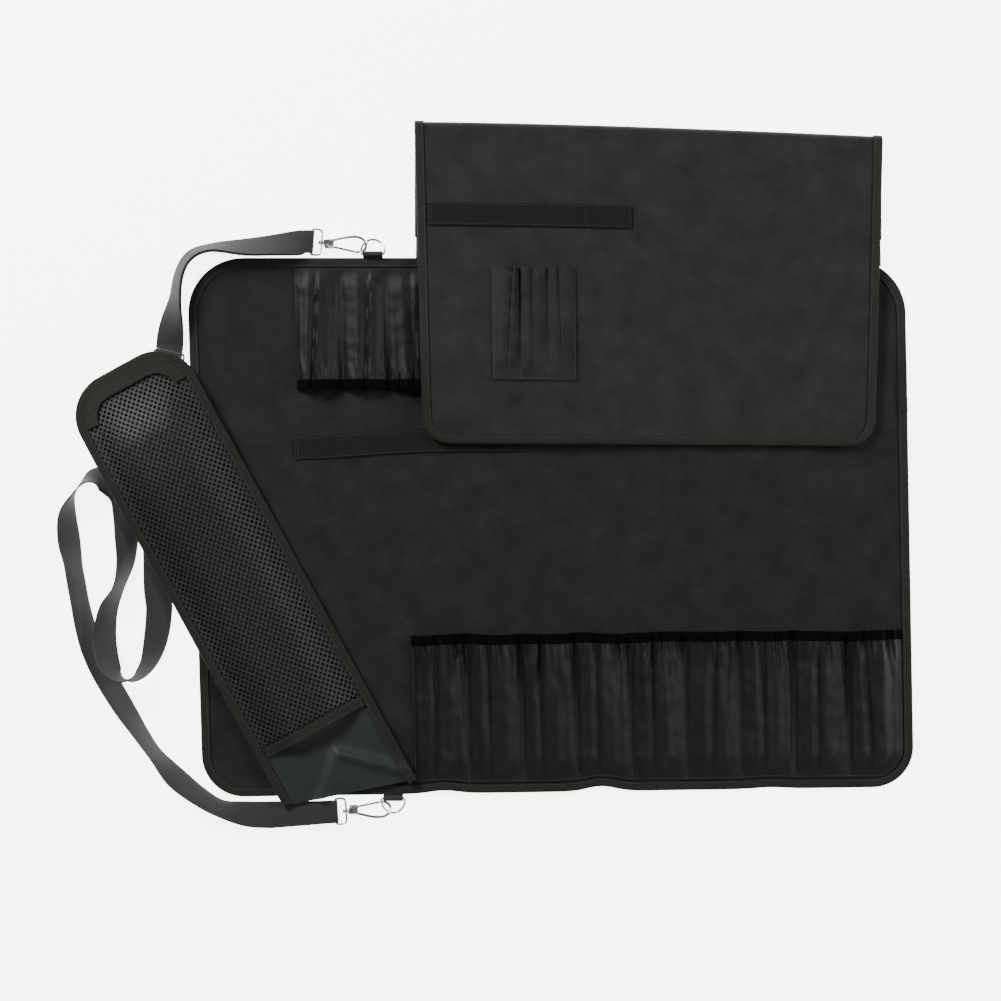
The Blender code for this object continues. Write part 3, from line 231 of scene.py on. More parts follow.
@dataclass(frozen=True)
class ClothFinish:
    """The look of one cloth: its slot, colour, weave and sheen, with painted shade between its threads and a
    random mottle of its colour that is darker in the crumple hollows, partly painted shade.
    """

    name: str
    slot: str
    colour: Spot
    weave: Weave
    pitch: float
    depth: float
    roughness: float
    sheen: float
    # How far the colour swings with the crumple noise: a random mottle that is darker in the crumple hollows,
    # partly painted shade.
    mottle_and_shade: float = 0.25
    gloss: float = 0.14

    def material(self) -> bpy.types.Material:
        """The cloth's Principled material, made once, whose pattern follows its UV map in metres; its colour
        holds painted shade between the threads, painted light on them and a mottle that is darker in the
        crumple hollows.
        """
        if self.name in bpy.data.materials:
            return bpy.data.materials[self.name]
        made, shader = new_material(self.name, self.colour)
        tree = made.node_tree
        flat = add_node(tree, "ShaderNodeUVMap", "UV", uv_map="flat")
        patch = add_node(
            tree, "ShaderNodeTexNoise", "Fac",
            {"Vector": flat, "Scale": 34.0, "Detail": 5.0, "Roughness": 0.62},
        )
        threads = self._threads(tree, flat)
        # Painted shade: the colour is darker in the crumple hollows, on top of a random mottle, and darker
        # between the threads and lighter on them.
        mottle_and_painted_shade = [
            add_node(tree, "ShaderNodeMapRange", "Result", {"Value": value, "To Min": low, "To Max": high})
            for value, low, high in (
                (patch, 1.0 - self.mottle_and_shade, 1.0 + self.mottle_and_shade), (threads, 0.62, 1.30),
            )
        ]
        both = add_node(tree, "ShaderNodeMath", "Value", dict(enumerate(mottle_and_painted_shade)), operation="MULTIPLY")
        shade = add_node(
            tree, "ShaderNodeVectorMath", "Vector", {0: self.colour, "Scale": both}, operation="SCALE",
        )
        bump = add_node(
            tree, "ShaderNodeBump", "Normal",
            {"Strength": self.depth, "Distance": self.pitch * 0.35, "Height": threads},
        )
        crumple = add_node(
            tree, "ShaderNodeBump", "Normal",
            {"Strength": 0.30, "Distance": 0.0012, "Height": patch, "Normal": bump},
        )
        feed(tree, shader, {
            "Roughness": self.roughness, "Sheen Weight": self.sheen, "Sheen Roughness": 0.45,
            "Specular IOR Level": self.gloss, "Base Color": shade, "Normal": crumple,
        })
        return made

    def _threads(self, tree: bpy.types.NodeTree, uv: bpy.types.NodeSocket) -> bpy.types.NodeSocket:
        """Heights of the threads, from 0 to 1, over the flat coordinates; they drive the bump and the painted
        shade between the threads.
        """
        turns = {
            Weave.PLAIN: (0.0, 90.0, 1.0), Weave.TWILL: (38.0, -12.0, 1.4), Weave.RIB: (90.0, 0.0, 3.2),
            Weave.WEBBING: (28.0, -28.0, 1.0), Weave.SMOOTH: (0.0, 90.0, 0.7),
        }
        first, second, ratio = turns[self.weave]
        waves = []
        for angle, pitch in ((first, self.pitch), (second, self.pitch * ratio)):
            turn = add_node(
                tree, "ShaderNodeMapping", "Vector",
                {"Vector": uv, "Rotation": (0.0, 0.0, math.radians(angle))},
            )
            bent = {"Distortion": 0.6, "Detail": 2.0, "Detail Scale": 1.6}
            waves.append(add_node(
                tree, "ShaderNodeTexWave", "Fac", {"Vector": turn, "Scale": 0.314 / pitch} | bent,
                wave_type="BANDS", bands_direction="X",
            ))
        if self.weave in (Weave.PLAIN, Weave.SMOOTH):
            return add_node(tree, "ShaderNodeMath", "Value", dict(enumerate(waves)), operation="MAXIMUM")
        part = add_node(tree, "ShaderNodeMath", "Value", {0: waves[1], 1: 0.3}, operation="MULTIPLY")
        return add_node(
            tree, "ShaderNodeMath", "Value", {0: waves[0], 1: 0.7, 2: part}, operation="MULTIPLY_ADD",
        )


@dataclass(frozen=True)
class MetalFinish:
    """Polished nickel plate with fine wear."""

    name: str = "polished nickel"
    slot: str = "nickel"
    colour: Spot = (0.56, 0.55, 0.53)
    roughness: float = 0.13

    def material(self) -> bpy.types.Material:
        """The metal's material, made once, its gloss broken by faint smears."""
        if self.name in bpy.data.materials:
            return bpy.data.materials[self.name]
        made, shader = new_material(self.name, self.colour)
        tree = made.node_tree
        place = add_node(tree, "ShaderNodeTexCoord", "Object")
        smear = add_node(tree, "ShaderNodeTexNoise", "Fac", {"Vector": place, "Scale": 420.0, "Detail": 4.0})
        rough = add_node(
            tree, "ShaderNodeMapRange", "Result",
            {"Value": smear, "To Min": self.roughness * 0.6, "To Max": self.roughness * 1.9},
        )
        bump = add_node(
            tree, "ShaderNodeBump", "Normal", {"Strength": 0.06, "Distance": 0.0002, "Height": smear},
        )
        feed(tree, shader, {
            "Base Color": (*self.colour, 1.0), "Metallic": 1.0, "Roughness": rough, "Normal": bump,
        })
        return made


PANEL_FINISH = ClothFinish(
    "panel cloth", "panel", (0.0098, 0.0106, 0.0096), Weave.PLAIN, 0.0008, 0.85, 0.72, 0.05, 0.85,
)
FLAP_FINISH = ClothFinish(
    "flap cloth", "flap", (0.0150, 0.0159, 0.0152), Weave.TWILL, 0.0010, 0.85, 0.70, 0.06, 0.75,
)
POCKET_FINISH = ClothFinish(
    "pocket cloth", "pocket", (0.0034, 0.0038, 0.0035), Weave.SMOOTH, 0.0006, 0.25, 0.52, 0.04, 0.25, 0.20,
)
BINDING_FINISH = ClothFinish(
    "binding tape", "binding", (0.0120, 0.0122, 0.0100), Weave.RIB, 0.0009, 0.60, 0.68, 0.05,
)
ELASTIC_FINISH = ClothFinish(
    "elastic trim", "elastic", (0.0016, 0.0018, 0.0021), Weave.RIB, 0.0008, 0.60, 0.92, 0.01, 0.25, 0.04,
)
BAND_FINISH = ClothFinish(
    "ribbed band", "band", (0.0066, 0.0071, 0.0064), Weave.RIB, 0.0012, 0.80, 0.80, 0.03,
)
NET_FINISH = ClothFinish(
    "mesh yarn", "net", (0.0120, 0.0128, 0.0120), Weave.SMOOTH, 0.0005, 0.30, 0.50, 0.05, 0.25, 0.30,
)
LINING_FINISH = ClothFinish(
    "pouch lining", "lining", (0.0120, 0.0140, 0.0148), Weave.SMOOTH, 0.0006, 0.18, 0.56, 0.05, 0.25, 0.22,
)
STRAP_FINISH = ClothFinish(
    "webbing", "webbing", (0.0012, 0.0012, 0.0010), Weave.WEBBING, 0.0016, 0.95, 0.90, 0.0, 0.25, 0.02,
)
THREAD_FINISH = ClothFinish(
    "sewing thread", "binding", (0.0450, 0.0460, 0.0430), Weave.SMOOTH, 0.0004, 0.20, 0.55, 0.05,
)
NICKEL = MetalFinish()


# Making meshes

def finish_piece(mesh: bpy.types.Mesh, name: str, finish: ClothFinish | MetalFinish,
                 nodes: Iterable[str] = (), body: Body = Body.ROLL) -> bpy.types.Object:
    """Make a finished piece of a mesh: its object, finish, body and the nodes it replaces.

    Args:
        mesh: the mesh, in the frame's own coordinates.
        name: the piece's name.
        finish: what it is made of.
        nodes: the frame's nodes that it stands for.
        body: the body that it rides on.

    Returns:
        The piece's object.
    """
    mesh.materials.clear()
    mesh.materials.append(finish.material())
    piece = bpy.data.objects.new(name, mesh)
    bpy.context.scene.collection.objects.link(piece)
    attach(piece, body.value)
    if nodes:
        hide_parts(*nodes)
    return piece


def finished_mesh(built: bmesh.types.BMesh, name: str,
                  where: Mapping[bmesh.types.BMVert, tuple[float, float]], sharp: float) -> bpy.types.Mesh:
    """Turn a built closed shape into a smooth mesh whose faces point out.

    Args:
        built: the shape, used up here, with its flat UV layer still empty.
        name: the mesh's name.
        where: the flat place of each of its points, in metres.
        sharp: the angle from which its edges are sharp.

    Returns:
        The new mesh.
    """
    if built.calc_volume(signed=True) < 0:
        bmesh.ops.reverse_faces(built, faces=built.faces)
    flat = built.loops.layers.uv["flat"]
    for face in built.faces:
        face.smooth = True
        for loop in face.loops:
            loop[flat].uv = where[loop.vert]
    mesh = bpy.data.meshes.new(name)
    built.to_mesh(mesh)
    built.free()
    mesh.set_sharp_from_angle(angle=sharp)
    return mesh


def no_relief(x: float, y: float) -> float:
    """The relief of a cloth without folds."""
    return 0.0


@dataclass
class Cloth:
    """A cloth laid out flat as rows of (x, y) places, with folds, thickness and a drape."""

    name: str
    rows: list[list[tuple[float, float]]]
    thickness: float
    place: Place
    relief: Relief = no_relief
    level: float = 0.0

    def mesh(self) -> bpy.types.Mesh:
        """The cloth's closed mesh, both its sides and its rim, with a flat UV map in metres."""
        built = bmesh.new()
        built.loops.layers.uv.new("flat")
        sides = []
        where: dict[bmesh.types.BMVert, tuple[float, float]] = {}
        for up in (0.0, self.thickness):
            side = []
            for row in self.rows:
                line = [
                    built.verts.new(self.place(x, y, self.level + self.relief(x, y) + up)) for x, y in row
                ]
                where.update(zip(line, row))
                side.append(line)
            sides.append(side)
        under, over = sides
        for grid, flipped in ((over, False), (under, True)):
            for first, second in zip(grid, grid[1:]):
                for a, b, c, d in zip(first, first[1:], second[1:], second):
                    built.faces.new((a, d, c, b) if flipped else (a, b, c, d))
        rim = [(0, i) for i in range(len(under[0]))] + [(j, -1) for j in range(1, len(under))]
        rim += [(-1, i) for i in range(len(under[0]) - 2, -1, -1)]
        rim += [(j, 0) for j in range(len(under) - 2, 0, -1)]
        for (j, i), (n, k) in zip(rim, rim[1:] + rim[:1]):
            built.faces.new((under[j][i], under[n][k], over[n][k], over[j][i]))
        return finished_mesh(built, self.name, where, SHARP_CLOTH)

    def make(self, finish: ClothFinish, node: str) -> bpy.types.Object:
        """Make the cloth's piece, which stands for one of the frame's nodes."""
        return finish_piece(self.mesh(), self.name, finish, [node])


def sweep(name: str, rings: Sequence[Sequence[Vector]], closed: bool, lengths: Sequence[float],
          across: Sequence[float]) -> bpy.types.Mesh:
    """A tape or ribbon through equal rings of points, closed on itself or with end caps.

    Args:
        name: the mesh's name.
        rings: the rings of points, each round the section.
        closed: whether the last ring joins the first.
        lengths: the place of each ring along the piece, in metres.
        across: the place of each point round the section, in metres.

    Returns:
        A closed mesh with a flat UV map in metres.
    """
    built = bmesh.new()
    built.loops.layers.uv.new("flat")
    made = [[built.verts.new(point) for point in ring] for ring in rings]
    where = {v: (length, place) for line, length in zip(made, lengths) for v, place in zip(line, across)}
    pairs = list(zip(made, made[1:]))
    if closed:
        pairs.append((made[-1], made[0]))
    for first, second in pairs:
        for a, b, c, d in zip(first, first[1:] + first[:1], second[1:] + second[:1], second):
            built.faces.new((a, b, c, d))
    if not closed:
        caps = [built.faces.new(made[0]), built.faces.new(made[-1])]
        built.normal_update()
        bmesh.ops.triangulate(built, faces=caps, ngon_method="EAR_CLIP")
    bmesh.ops.recalc_face_normals(built, faces=built.faces)
    return finished_mesh(built, name, where, SHARP_SHAPE)


@dataclass(frozen=True)
class Edge:
    """A stretch of a cloth's flat outline: its points with their inward normals."""

    spots: list[Rim]
    closed: bool

    def lengths(self) -> list[float]:
        """How far along the outline each point lies."""
        return run_lengths([spot[:2] for spot in self.spots])

    def dense(self, pitch: float) -> "Edge":
        """The same outline with points about one pitch apart."""
        spots = []
        follow = self.spots + (self.spots[:1] if self.closed else [])
        for a, b in zip(follow, follow[1:]):
            count = max(int(math.hypot(b[0] - a[0], b[1] - a[1]) / pitch), 1)
            for step in range(count):
                share = step / count
                spots.append(tuple(p + (q - p) * share for p, q in zip(a, b)))
        if not self.closed:
            spots.append(self.spots[-1])
        return Edge(spots, self.closed)

    def inside(self, inset: float, level: float, place: Place) -> list[Vector]:
        """Placed points at an inset from the outline, for a seam."""
        found = [place(x + nx * inset, y + ny * inset, level) for x, y, nx, ny in self.spots]
        return found + found[:1] if self.closed else found


@dataclass
class Binding:
    """Ribbed tape folded round a cloth's edge, sewn near its inner side."""

    name: str
    edge: Edge
    thickness: float
    place: Place
    seed: float = 0.0
    pucker: float = 0.00022

    def mesh(self) -> bpy.types.Mesh:
        """The folded tape, rounded at its fold and puckered along its seam."""
        low = -TAPE - GAP
        high = self.thickness + GAP + TAPE
        middle = (low + high) / 2
        half = (high - low) / 2
        bend = (-1.25, -0.65, 0.0, 0.65, 1.25)
        outer = [(0.7 * TAPE * (1 - math.cos(a)), middle + half * math.sin(a)) for a in bend]
        seam = BINDING_WIDTH - SEAM_INSET
        section = [
            (BINDING_WIDTH, low), (seam * 0.5, low), *outer, (0.0022, high), (seam - 0.0006, high),
            (seam, high - 0.00025), (seam + 0.0006, high), (BINDING_WIDTH, high - 0.0001),
            (BINDING_WIDTH, high - TAPE), (TAPE, high - TAPE), (TAPE, low + TAPE),
            (BINDING_WIDTH, low + TAPE),
        ]
        edge = self.edge.dense(0.0028)
        lengths = edge.lengths()
        rings = []
        for (x, y, nx, ny), length in zip(edge.spots, lengths):
            wave = self.pucker * ripple(length * 95.0, 0.0, self.seed)
            ring = []
            for inset, up in section:
                raised = wave * min(inset / BINDING_WIDTH, 1.0) if up > middle else 0.0
                ring.append(self.place(x + nx * inset, y + ny * inset, up + raised + abs(raised)))
            rings.append(ring)
        return sweep(self.name, rings, edge.closed, lengths, run_lengths(section))

    def seam(self) -> list[Vector]:
        """Where the stitches of the tape lie."""
        level = self.thickness + GAP + TAPE - STITCH_RADIUS
        return self.edge.dense(0.004).inside(BINDING_WIDTH - SEAM_INSET, level, self.place)

    def make(self, node: str, sewing: "Sewing") -> None:
        """Make the tape's piece, which stands for a node, and remember its seam."""
        finish_piece(self.mesh(), self.name, BINDING_FINISH, [node])
        sewing.add(self.seam())


def changed_mesh(source: bpy.types.Object) -> bpy.types.Mesh:
    """The mesh that an object's modifiers make; the object is removed."""
    graph = bpy.context.evaluated_depsgraph_get()
    graph.update()
    mesh = bpy.data.meshes.new_from_object(source.evaluated_get(graph))
    bpy.data.objects.remove(source)
    return mesh


class Sewing:
    """Rows of stitches, made by one Geometry Nodes tree and gathered into one piece."""

    def __init__(self) -> None:
        """Start with no seams and build the tree."""
        self.seams: list[list[Vector]] = []
        self.tree = self._build_tree()

    def add(self, seam: Sequence[Vector]) -> None:
        """Remember one seam's points."""
        self.seams.append(list(seam))

    def _build_tree(self) -> bpy.types.NodeTree:
        """The tree: points along each seam, a stitch on each, realized, with its thread."""
        tree = bpy.data.node_groups.new("stitches", "GeometryNodeTree")
        face = tree.interface
        face.new_socket("Geometry", in_out="INPUT", socket_type="NodeSocketGeometry")
        for label, value in (("Pitch", STITCH_PITCH), ("Length", STITCH_LENGTH), ("Radius", STITCH_RADIUS)):
            socket = face.new_socket(label, in_out="INPUT", socket_type="NodeSocketFloat")
            socket.default_value = value
        face.new_socket("Thread", in_out="INPUT", socket_type="NodeSocketMaterial")
        face.new_socket("Geometry", in_out="OUTPUT", socket_type="NodeSocketGeometry")
        given = tree.nodes.new("NodeGroupInput").outputs
        curve = add_node(tree, "GeometryNodeMeshToCurve", "Curve", {"Mesh": given["Geometry"]})
        even = add_node(
            tree, "GeometryNodeResampleCurve", "Curve", {"Curve": curve, "Length": given["Pitch"]},
            mode="LENGTH",
        )
        ball = add_node(tree, "GeometryNodeMeshUVSphere", "Mesh", {"Segments": 6, "Rings": 5, "Radius": 1.0})
        half = add_node(tree, "ShaderNodeMath", "Value", {0: given["Length"], 1: 0.5}, operation="MULTIPLY")
        radius = given["Radius"]
        size = add_node(tree, "ShaderNodeCombineXYZ", "Vector", {"X": radius, "Y": radius, "Z": half})
        tangent = add_node(tree, "GeometryNodeInputTangent", "Tangent")
        turn = add_node(tree, "FunctionNodeAlignEulerToVector", "Rotation", {"Vector": tangent}, axis="Z")
        points = add_node(
            tree, "GeometryNodeInstanceOnPoints", "Instances",
            {"Points": even, "Instance": ball, "Rotation": turn, "Scale": size},
        )
        real = add_node(tree, "GeometryNodeRealizeInstances", "Geometry", {"Geometry": points})
        thread = add_node(
            tree, "GeometryNodeSetMaterial", "Geometry", {"Geometry": real, "Material": given["Thread"]},
        )
        feed(tree, tree.nodes.new("NodeGroupOutput"), {"Geometry": thread})
        return tree

    def make(self, name: str) -> bpy.types.Object:
        """Sew every remembered seam and make all the stitches one piece of that name."""
        path = bpy.data.meshes.new(name + "_path")
        points: list[Vector] = []
        edges: list[tuple[int, int]] = []
        for seam in self.seams:
            first = len(points)
            points += seam
            edges += [(first + i, first + i + 1) for i in range(len(seam) - 1)]
        path.from_pydata(points, edges, [])
        source = bpy.data.objects.new(name + "_path", path)
        bpy.context.scene.collection.objects.link(source)
        change = source.modifiers.new("stitches", "NODES")
        change.node_group = self.tree
        for item in self.tree.interface.items_tree:
            if item.in_out == "INPUT" and item.name == "Thread":
                change[item.identifier] = THREAD_FINISH.material()
        mesh = changed_mesh(source)
        mesh.name = name
        self._add_flat_map(mesh)
        mesh.shade_smooth()
        return finish_piece(mesh, name, THREAD_FINISH)

    @staticmethod
    def _add_flat_map(mesh: bpy.types.Mesh) -> None:
        """Give the thread a flat map from its own places, for its fine bump."""
        for layer in list(mesh.uv_layers):
            mesh.uv_layers.remove(layer)
        layer = mesh.uv_layers.new(name="flat")
        for loop in mesh.loops:
            spot = mesh.vertices[loop.vertex_index].co
            layer.data[loop.index].uv = (spot.x, spot.y)


# The panel

@dataclass
class MainPanel:
    """The bound main cloth, lying on the floor with its edge raised by the tape."""

    width: float = 0.714
    height: float = 0.539
    top_radius: float = 0.057
    bottom_radius: float = 0.042
    lean: float = 0.024
    top_spread: float = 0.0102
    right_rise: float = 0.0105
    drape_run: float = 0.013
    dent_width: float = 0.020
    dent_reach: float = 0.05
    dents: tuple[tuple[float, float], ...] = ((-0.161, 0.0030), (0.060, 0.0050), (0.298, 0.0015))
    overlap_height: float = 0.050
    overlap_up: float = 0.255
    wave: float = 0.0016
    pitch: float = 0.0034

    def edge_distance(self, x: float, y: float) -> float:
        """How far inside the round-cornered outline a flat point lies."""
        radius = self.top_radius if y > 0 else self.bottom_radius
        past_x = abs(x) - (self.width / 2 - radius)
        past_y = abs(y) - (self.height / 2 - radius)
        if past_x > 0 and past_y > 0:
            return radius - math.hypot(past_x, past_y)
        return radius - max(past_x, past_y)

    def relief(self, x: float, y: float) -> float:
        """Soft waves of the open cloth, flat where a strip is sewn on it."""
        below = max(smooth((y + 0.098) / 0.035), smooth((-0.152 - x) / 0.030))
        above = max(smooth((0.128 - y) / 0.030), smooth((-0.270 - x) / 0.030), smooth((x + 0.012) / 0.030))
        rim = smooth((self.edge_distance(x, y) - BINDING_WIDTH) / 0.030)
        broad = 0.5 + 0.5 * ripple(x * 11.0 + y * 5.0, y * 7.0, 2.3)
        fine = 0.5 + 0.5 * ripple(x * 30.0, y * 17.0 - x * 9.0, 7.1)
        return self.wave * below * above * rim * (0.72 * broad + 0.28 * fine)

    def place(self, x: float, y: float, z: float) -> Vector:
        """Lay a flat point on the floor, with the panel's waves."""
        rise = (x / self.width + 0.5) * (0.5 - y / self.height)
        low = smooth(1.0 - (y + self.height / 2) / self.dent_reach)
        dent = sum(depth * hill(x - at * self.width, self.dent_width) for at, depth in self.dents)
        edge = 1.0 - smooth((self.edge_distance(x, y) - BINDING_WIDTH) / self.drape_run)
        return Vector((
            x * (1.0 + self.top_spread * y / self.height) - self.lean * y,
            y + self.right_rise * rise + low * dent,
            z + edge * (TAPE + GAP) + self.relief(x, y),
        ))

    def half(self, y: float, inset: float) -> float:
        """Half of the cloth's width at a flat height, inside its round corners."""
        corner = self.top_radius if y > 0 else self.bottom_radius
        return round_half(self.width, corner, abs(y) - (self.height / 2 - corner), inset)

    def outline(self) -> Edge:
        """The panel's outline, clockwise from its top left."""
        half = self.width / 2
        top = self.height / 2
        corners = (
            (-half + self.top_radius, top - self.top_radius, self.top_radius, 180.0),
            (half - self.top_radius, top - self.top_radius, self.top_radius, 90.0),
            (half - self.bottom_radius, -top + self.bottom_radius, self.bottom_radius, 0.0),
            (-half + self.bottom_radius, -top + self.bottom_radius, self.bottom_radius, -90.0),
        )
        return Edge([
            spot for x, y, radius, start in corners for spot in arc(x, y, radius, start, start - 90.0, 16)
        ], True)

    def rows(self, inset: float) -> list[list[tuple[float, float]]]:
        """Flat rows of the cloth, closer together at its round corners."""
        top = self.height / 2
        low = [-y for y in arc_lengths(self.bottom_radius - inset, top - self.bottom_radius, self.pitch)]
        high = arc_lengths(self.top_radius - inset, top - self.top_radius, self.pitch)
        levels = sorted(low) + spread(-top + self.bottom_radius, top - self.top_radius, self.pitch) + high
        shares = both_sides(int(self.width / self.pitch))
        return [[(share * self.half(y, inset), y) for share in shares] for y in levels]

    def build(self, sewing: Sewing) -> None:
        """Make the cloth, its binding and the binding's lapped end, and remember their seams."""
        cloth = Cloth("panel_cloth", self.rows(TAPE + GAP), PANEL_CLOTH, self.place)
        piece = cloth.make(PANEL_FINISH, "base_panel")
        Binding("panel_tape", self.outline(), PANEL_CLOTH, self.place, 1.7).make("panel_binding", sewing)
        level = self.overlap_up * self.height - self.overlap_height / 2
        low = PANEL_CLOTH + 2 * GAP + TAPE
        across = spread(self.width / 2 - BINDING_WIDTH, self.width / 2 - GAP, 0.0015)
        rows = [[(x, level + up) for x in across] for up in spread(0.0, self.overlap_height, 0.0025)]
        lap = Cloth("tape_lap", rows, TAPE, self.place, level=low)
        lap.make(BINDING_FINISH, "binding_overlap")
        for end in (0.0018, self.overlap_height - 0.0018):
            sewing.add([self.place(x, level + end, low + TAPE) for x in across])
        LOG.info("panel, tape and lap made")


# Pockets

PLEAT_AT = 0.46
POCKET_PROFILE = (
    (0.00, 0.00), (0.13, 0.55), (0.29, 0.92), (0.46, 0.60),
    (0.52, 1.00), (0.68, 0.88), (0.86, 0.45), (1.00, 0.00),
)
POCKET_FALL = ((0.00, 1.00), (0.28, 0.86), (0.82, 0.60), (1.00, 0.00))


def soft_table(table: Sequence[tuple[float, float]], share: float) -> float:
    """Read a table of rows with an eased curve between the rows."""
    for (low, first), (high, second) in zip(table, table[1:]):
        if share <= high:
            way = (share - low) / (high - low)
            return first + (second - first) * (0.35 * way + 0.65 * smooth(way))
    return table[-1][1]


@dataclass
class PocketStrip:
    """A gathered and pleated strip of pockets, with or without elastic at its mouths."""

    name: str
    node: str
    count: int
    width: float
    depth: float
    height: float
    pleats: tuple[tuple[float, float, float], ...]
    corner: tuple[float, float]
    down: int
    place: Place
    level: float
    finish: ClothFinish
    seed: float
    limit: Callable[[float], float] | None = None
    elastic_node: str | None = None
    gather: float = 0.0021
    fold: float = 0.0026
    bow: float = 0.0016
    pitch: float = 0.0014
    fullness: float = 1.12

    def cloth_depth(self) -> float:
        """Depth of the gathered cloth without its elastic."""
        return self.depth - (ELASTIC_WIDTH + GAP if self.elastic_node else 0.0)

    def pocket_height(self, x: float, share: float) -> float:
        """Height of the strip's cloth over what it is sewn to.

        Args:
            x: flat place along the strip from its left end.
            share: share of the pocket's depth from its mouth.

        Returns:
            The height of the cloth's underside, zero at the seams.
        """
        number = min(int(x / self.width), self.count - 1)
        local = min(max(x / self.width - number, 0.0), 1.0)
        mouth, hem, height = self.pleats[number]
        pleat = mouth + (hem - mouth) * share
        if local < pleat:
            moved = local * PLEAT_AT / pleat
        else:
            moved = PLEAT_AT + (local - pleat) * (1.0 - PLEAT_AT) / (1.0 - pleat)
        fall = soft_table(POCKET_FALL, share)
        main = soft_table(POCKET_PROFILE, moved) * fall * height * self.height
        held = smooth(min(local, 1.0 - local) / 0.09)
        foot = smooth((1.0 - share) / 0.12)
        near = 1.0 - smooth(share / 0.30)
        fan = (local - 0.5) * self.width * 0.9 * share
        phase = 2.0 * math.pi * ((x - fan) / 0.0072 + 1.1 * ripple(x * 60.0, 0.0, self.seed))
        strength = 0.55 + 1.1 * abs(ripple(x * 35.0, 4.0, self.seed))
        gather = self.gather * near * near * (0.35 + 0.65 * math.cos(phase)) * strength
        reach = 1.0 - smooth(share / (0.48 + 0.5 * ripple(x * 45.0, 9.0, self.seed)))
        streak = self.gather * 1.2 * reach * ripple((x - 1.4 * fan) * 170.0, share * 2.4, self.seed + 3.0)
        lean = 1.6 * ripple(x * 12.0, 2.0, self.seed + 6.0)
        folds = self.fold * ripple(x * 62.0 + lean * share, share * 2.1, self.seed + 5.0)
        folds *= 1.0 - 0.45 * share
        dimple = 0.0007 * ripple(x * 90.0, share * 11.0, self.seed + 8.0)
        return max(main + held * foot * height * (gather + streak + folds + dimple), 0.0)

    def _spot(self, x: float, up: float) -> tuple[float, float]:
        """Flat place of a point: bowed at the mouths, drawn in where the strip meets a round corner."""
        share = min(up / self.depth, 1.0)
        bow = self.bow * smooth((share - 0.25) / 0.75) * ripple(x * 26.0, 5.0, self.seed)
        y = self.corner[1] + self.down * (up + bow)
        flat = self.corner[0] + x
        left = self.corner[0] + (self.count - 1) * self.width
        if self.limit is None or flat <= left:
            return (flat, y)
        return (left + (flat - left) * (self.limit(y) - left) / self.width, y)

    def _make_cloth(self, name: str, node: str, finish: ClothFinish, thickness: float,
                    ups: Sequence[float], height_at: Relief) -> bpy.types.Object:
        """Make one cloth of the strip.

        Args:
            name: the piece's name.
            node: the frame's node that it stands for.
            finish: what it is made of.
            thickness: the cloth's thickness.
            ups: how far up from the hem its rows lie.
            height_at: its height for a place along the strip and up from the hem.

        Returns:
            The piece.
        """
        heights: dict[tuple[float, float], float] = {}
        rows = []
        for up in ups:
            row = []
            for x in spread(0.0, self.count * self.width, self.pitch):
                spot = self._spot(x, up)
                heights[spot] = height_at(x, up)
                row.append(spot)
            rows.append(row)
        if self.down < 0:
            rows.reverse()

        def relief(x: float, y: float) -> float:
            """The height noted for a flat place."""
            return heights[(x, y)]

        return Cloth(name, rows, thickness, self.place, relief, self.level + GAP).make(finish, node)

    def build(self, sewing: Sewing) -> None:
        """Make the strip and its elastic, and remember its seams."""
        depth = self.cloth_depth()

        def cloth_height(x: float, up: float) -> float:
            """Height of the gathered cloth."""
            return self.pocket_height(x, 1.0 - up / depth)

        ups = spread(0.0, depth, self.pitch * 1.1)
        piece = self._make_cloth(self.name, self.node, self.finish, LIGHT_CLOTH, ups, cloth_height)
        self._sew(sewing, depth)
        if self.elastic_node:
            self._build_elastic(depth)
        LOG.info("%s made", self.name)

    def _build_elastic(self, depth: float) -> None:
        """Make the ribbed elastic at the mouths, puckered by its pull."""
        ups = spread(depth + GAP, self.depth, 0.0011)

        def height(x: float, up: float) -> float:
            """Height of the elastic, rounded off at its edges."""
            rim = 0.0006 if up in (ups[0], ups[-1]) else 0.0
            pull = 0.00035 * ripple(x * 330.0, up * 90.0, self.seed)
            return max(self.pocket_height(x, 0.0) * 0.97 + pull - rim, 0.0)

        self._make_cloth(self.name + "_elastic", self.elastic_node, ELASTIC_FINISH, ELASTIC, ups, height)

    def _sew(self, sewing: Sewing, depth: float) -> None:
        """Sew down the strip's divisions and its hem."""
        length = self.count * self.width
        lines = []
        for number in range(self.count + 1):
            x = min(max(number * self.width, 0.0012), length - 0.0012)
            lines.append([(x, up) for up in spread(0.002, depth, 0.004)])
        lines.append([(x, 0.0022) for x in spread(0.001, length - 0.001, 0.004)])
        above = self.level + GAP
        for line in lines:
            seam = []
            for x, up in line:
                high = self.pocket_height(x, 1.0 - up / depth)
                seam.append(self.place(*self._spot(x, up), above + high + LIGHT_CLOTH + LIFT))
            sewing.add(seam)


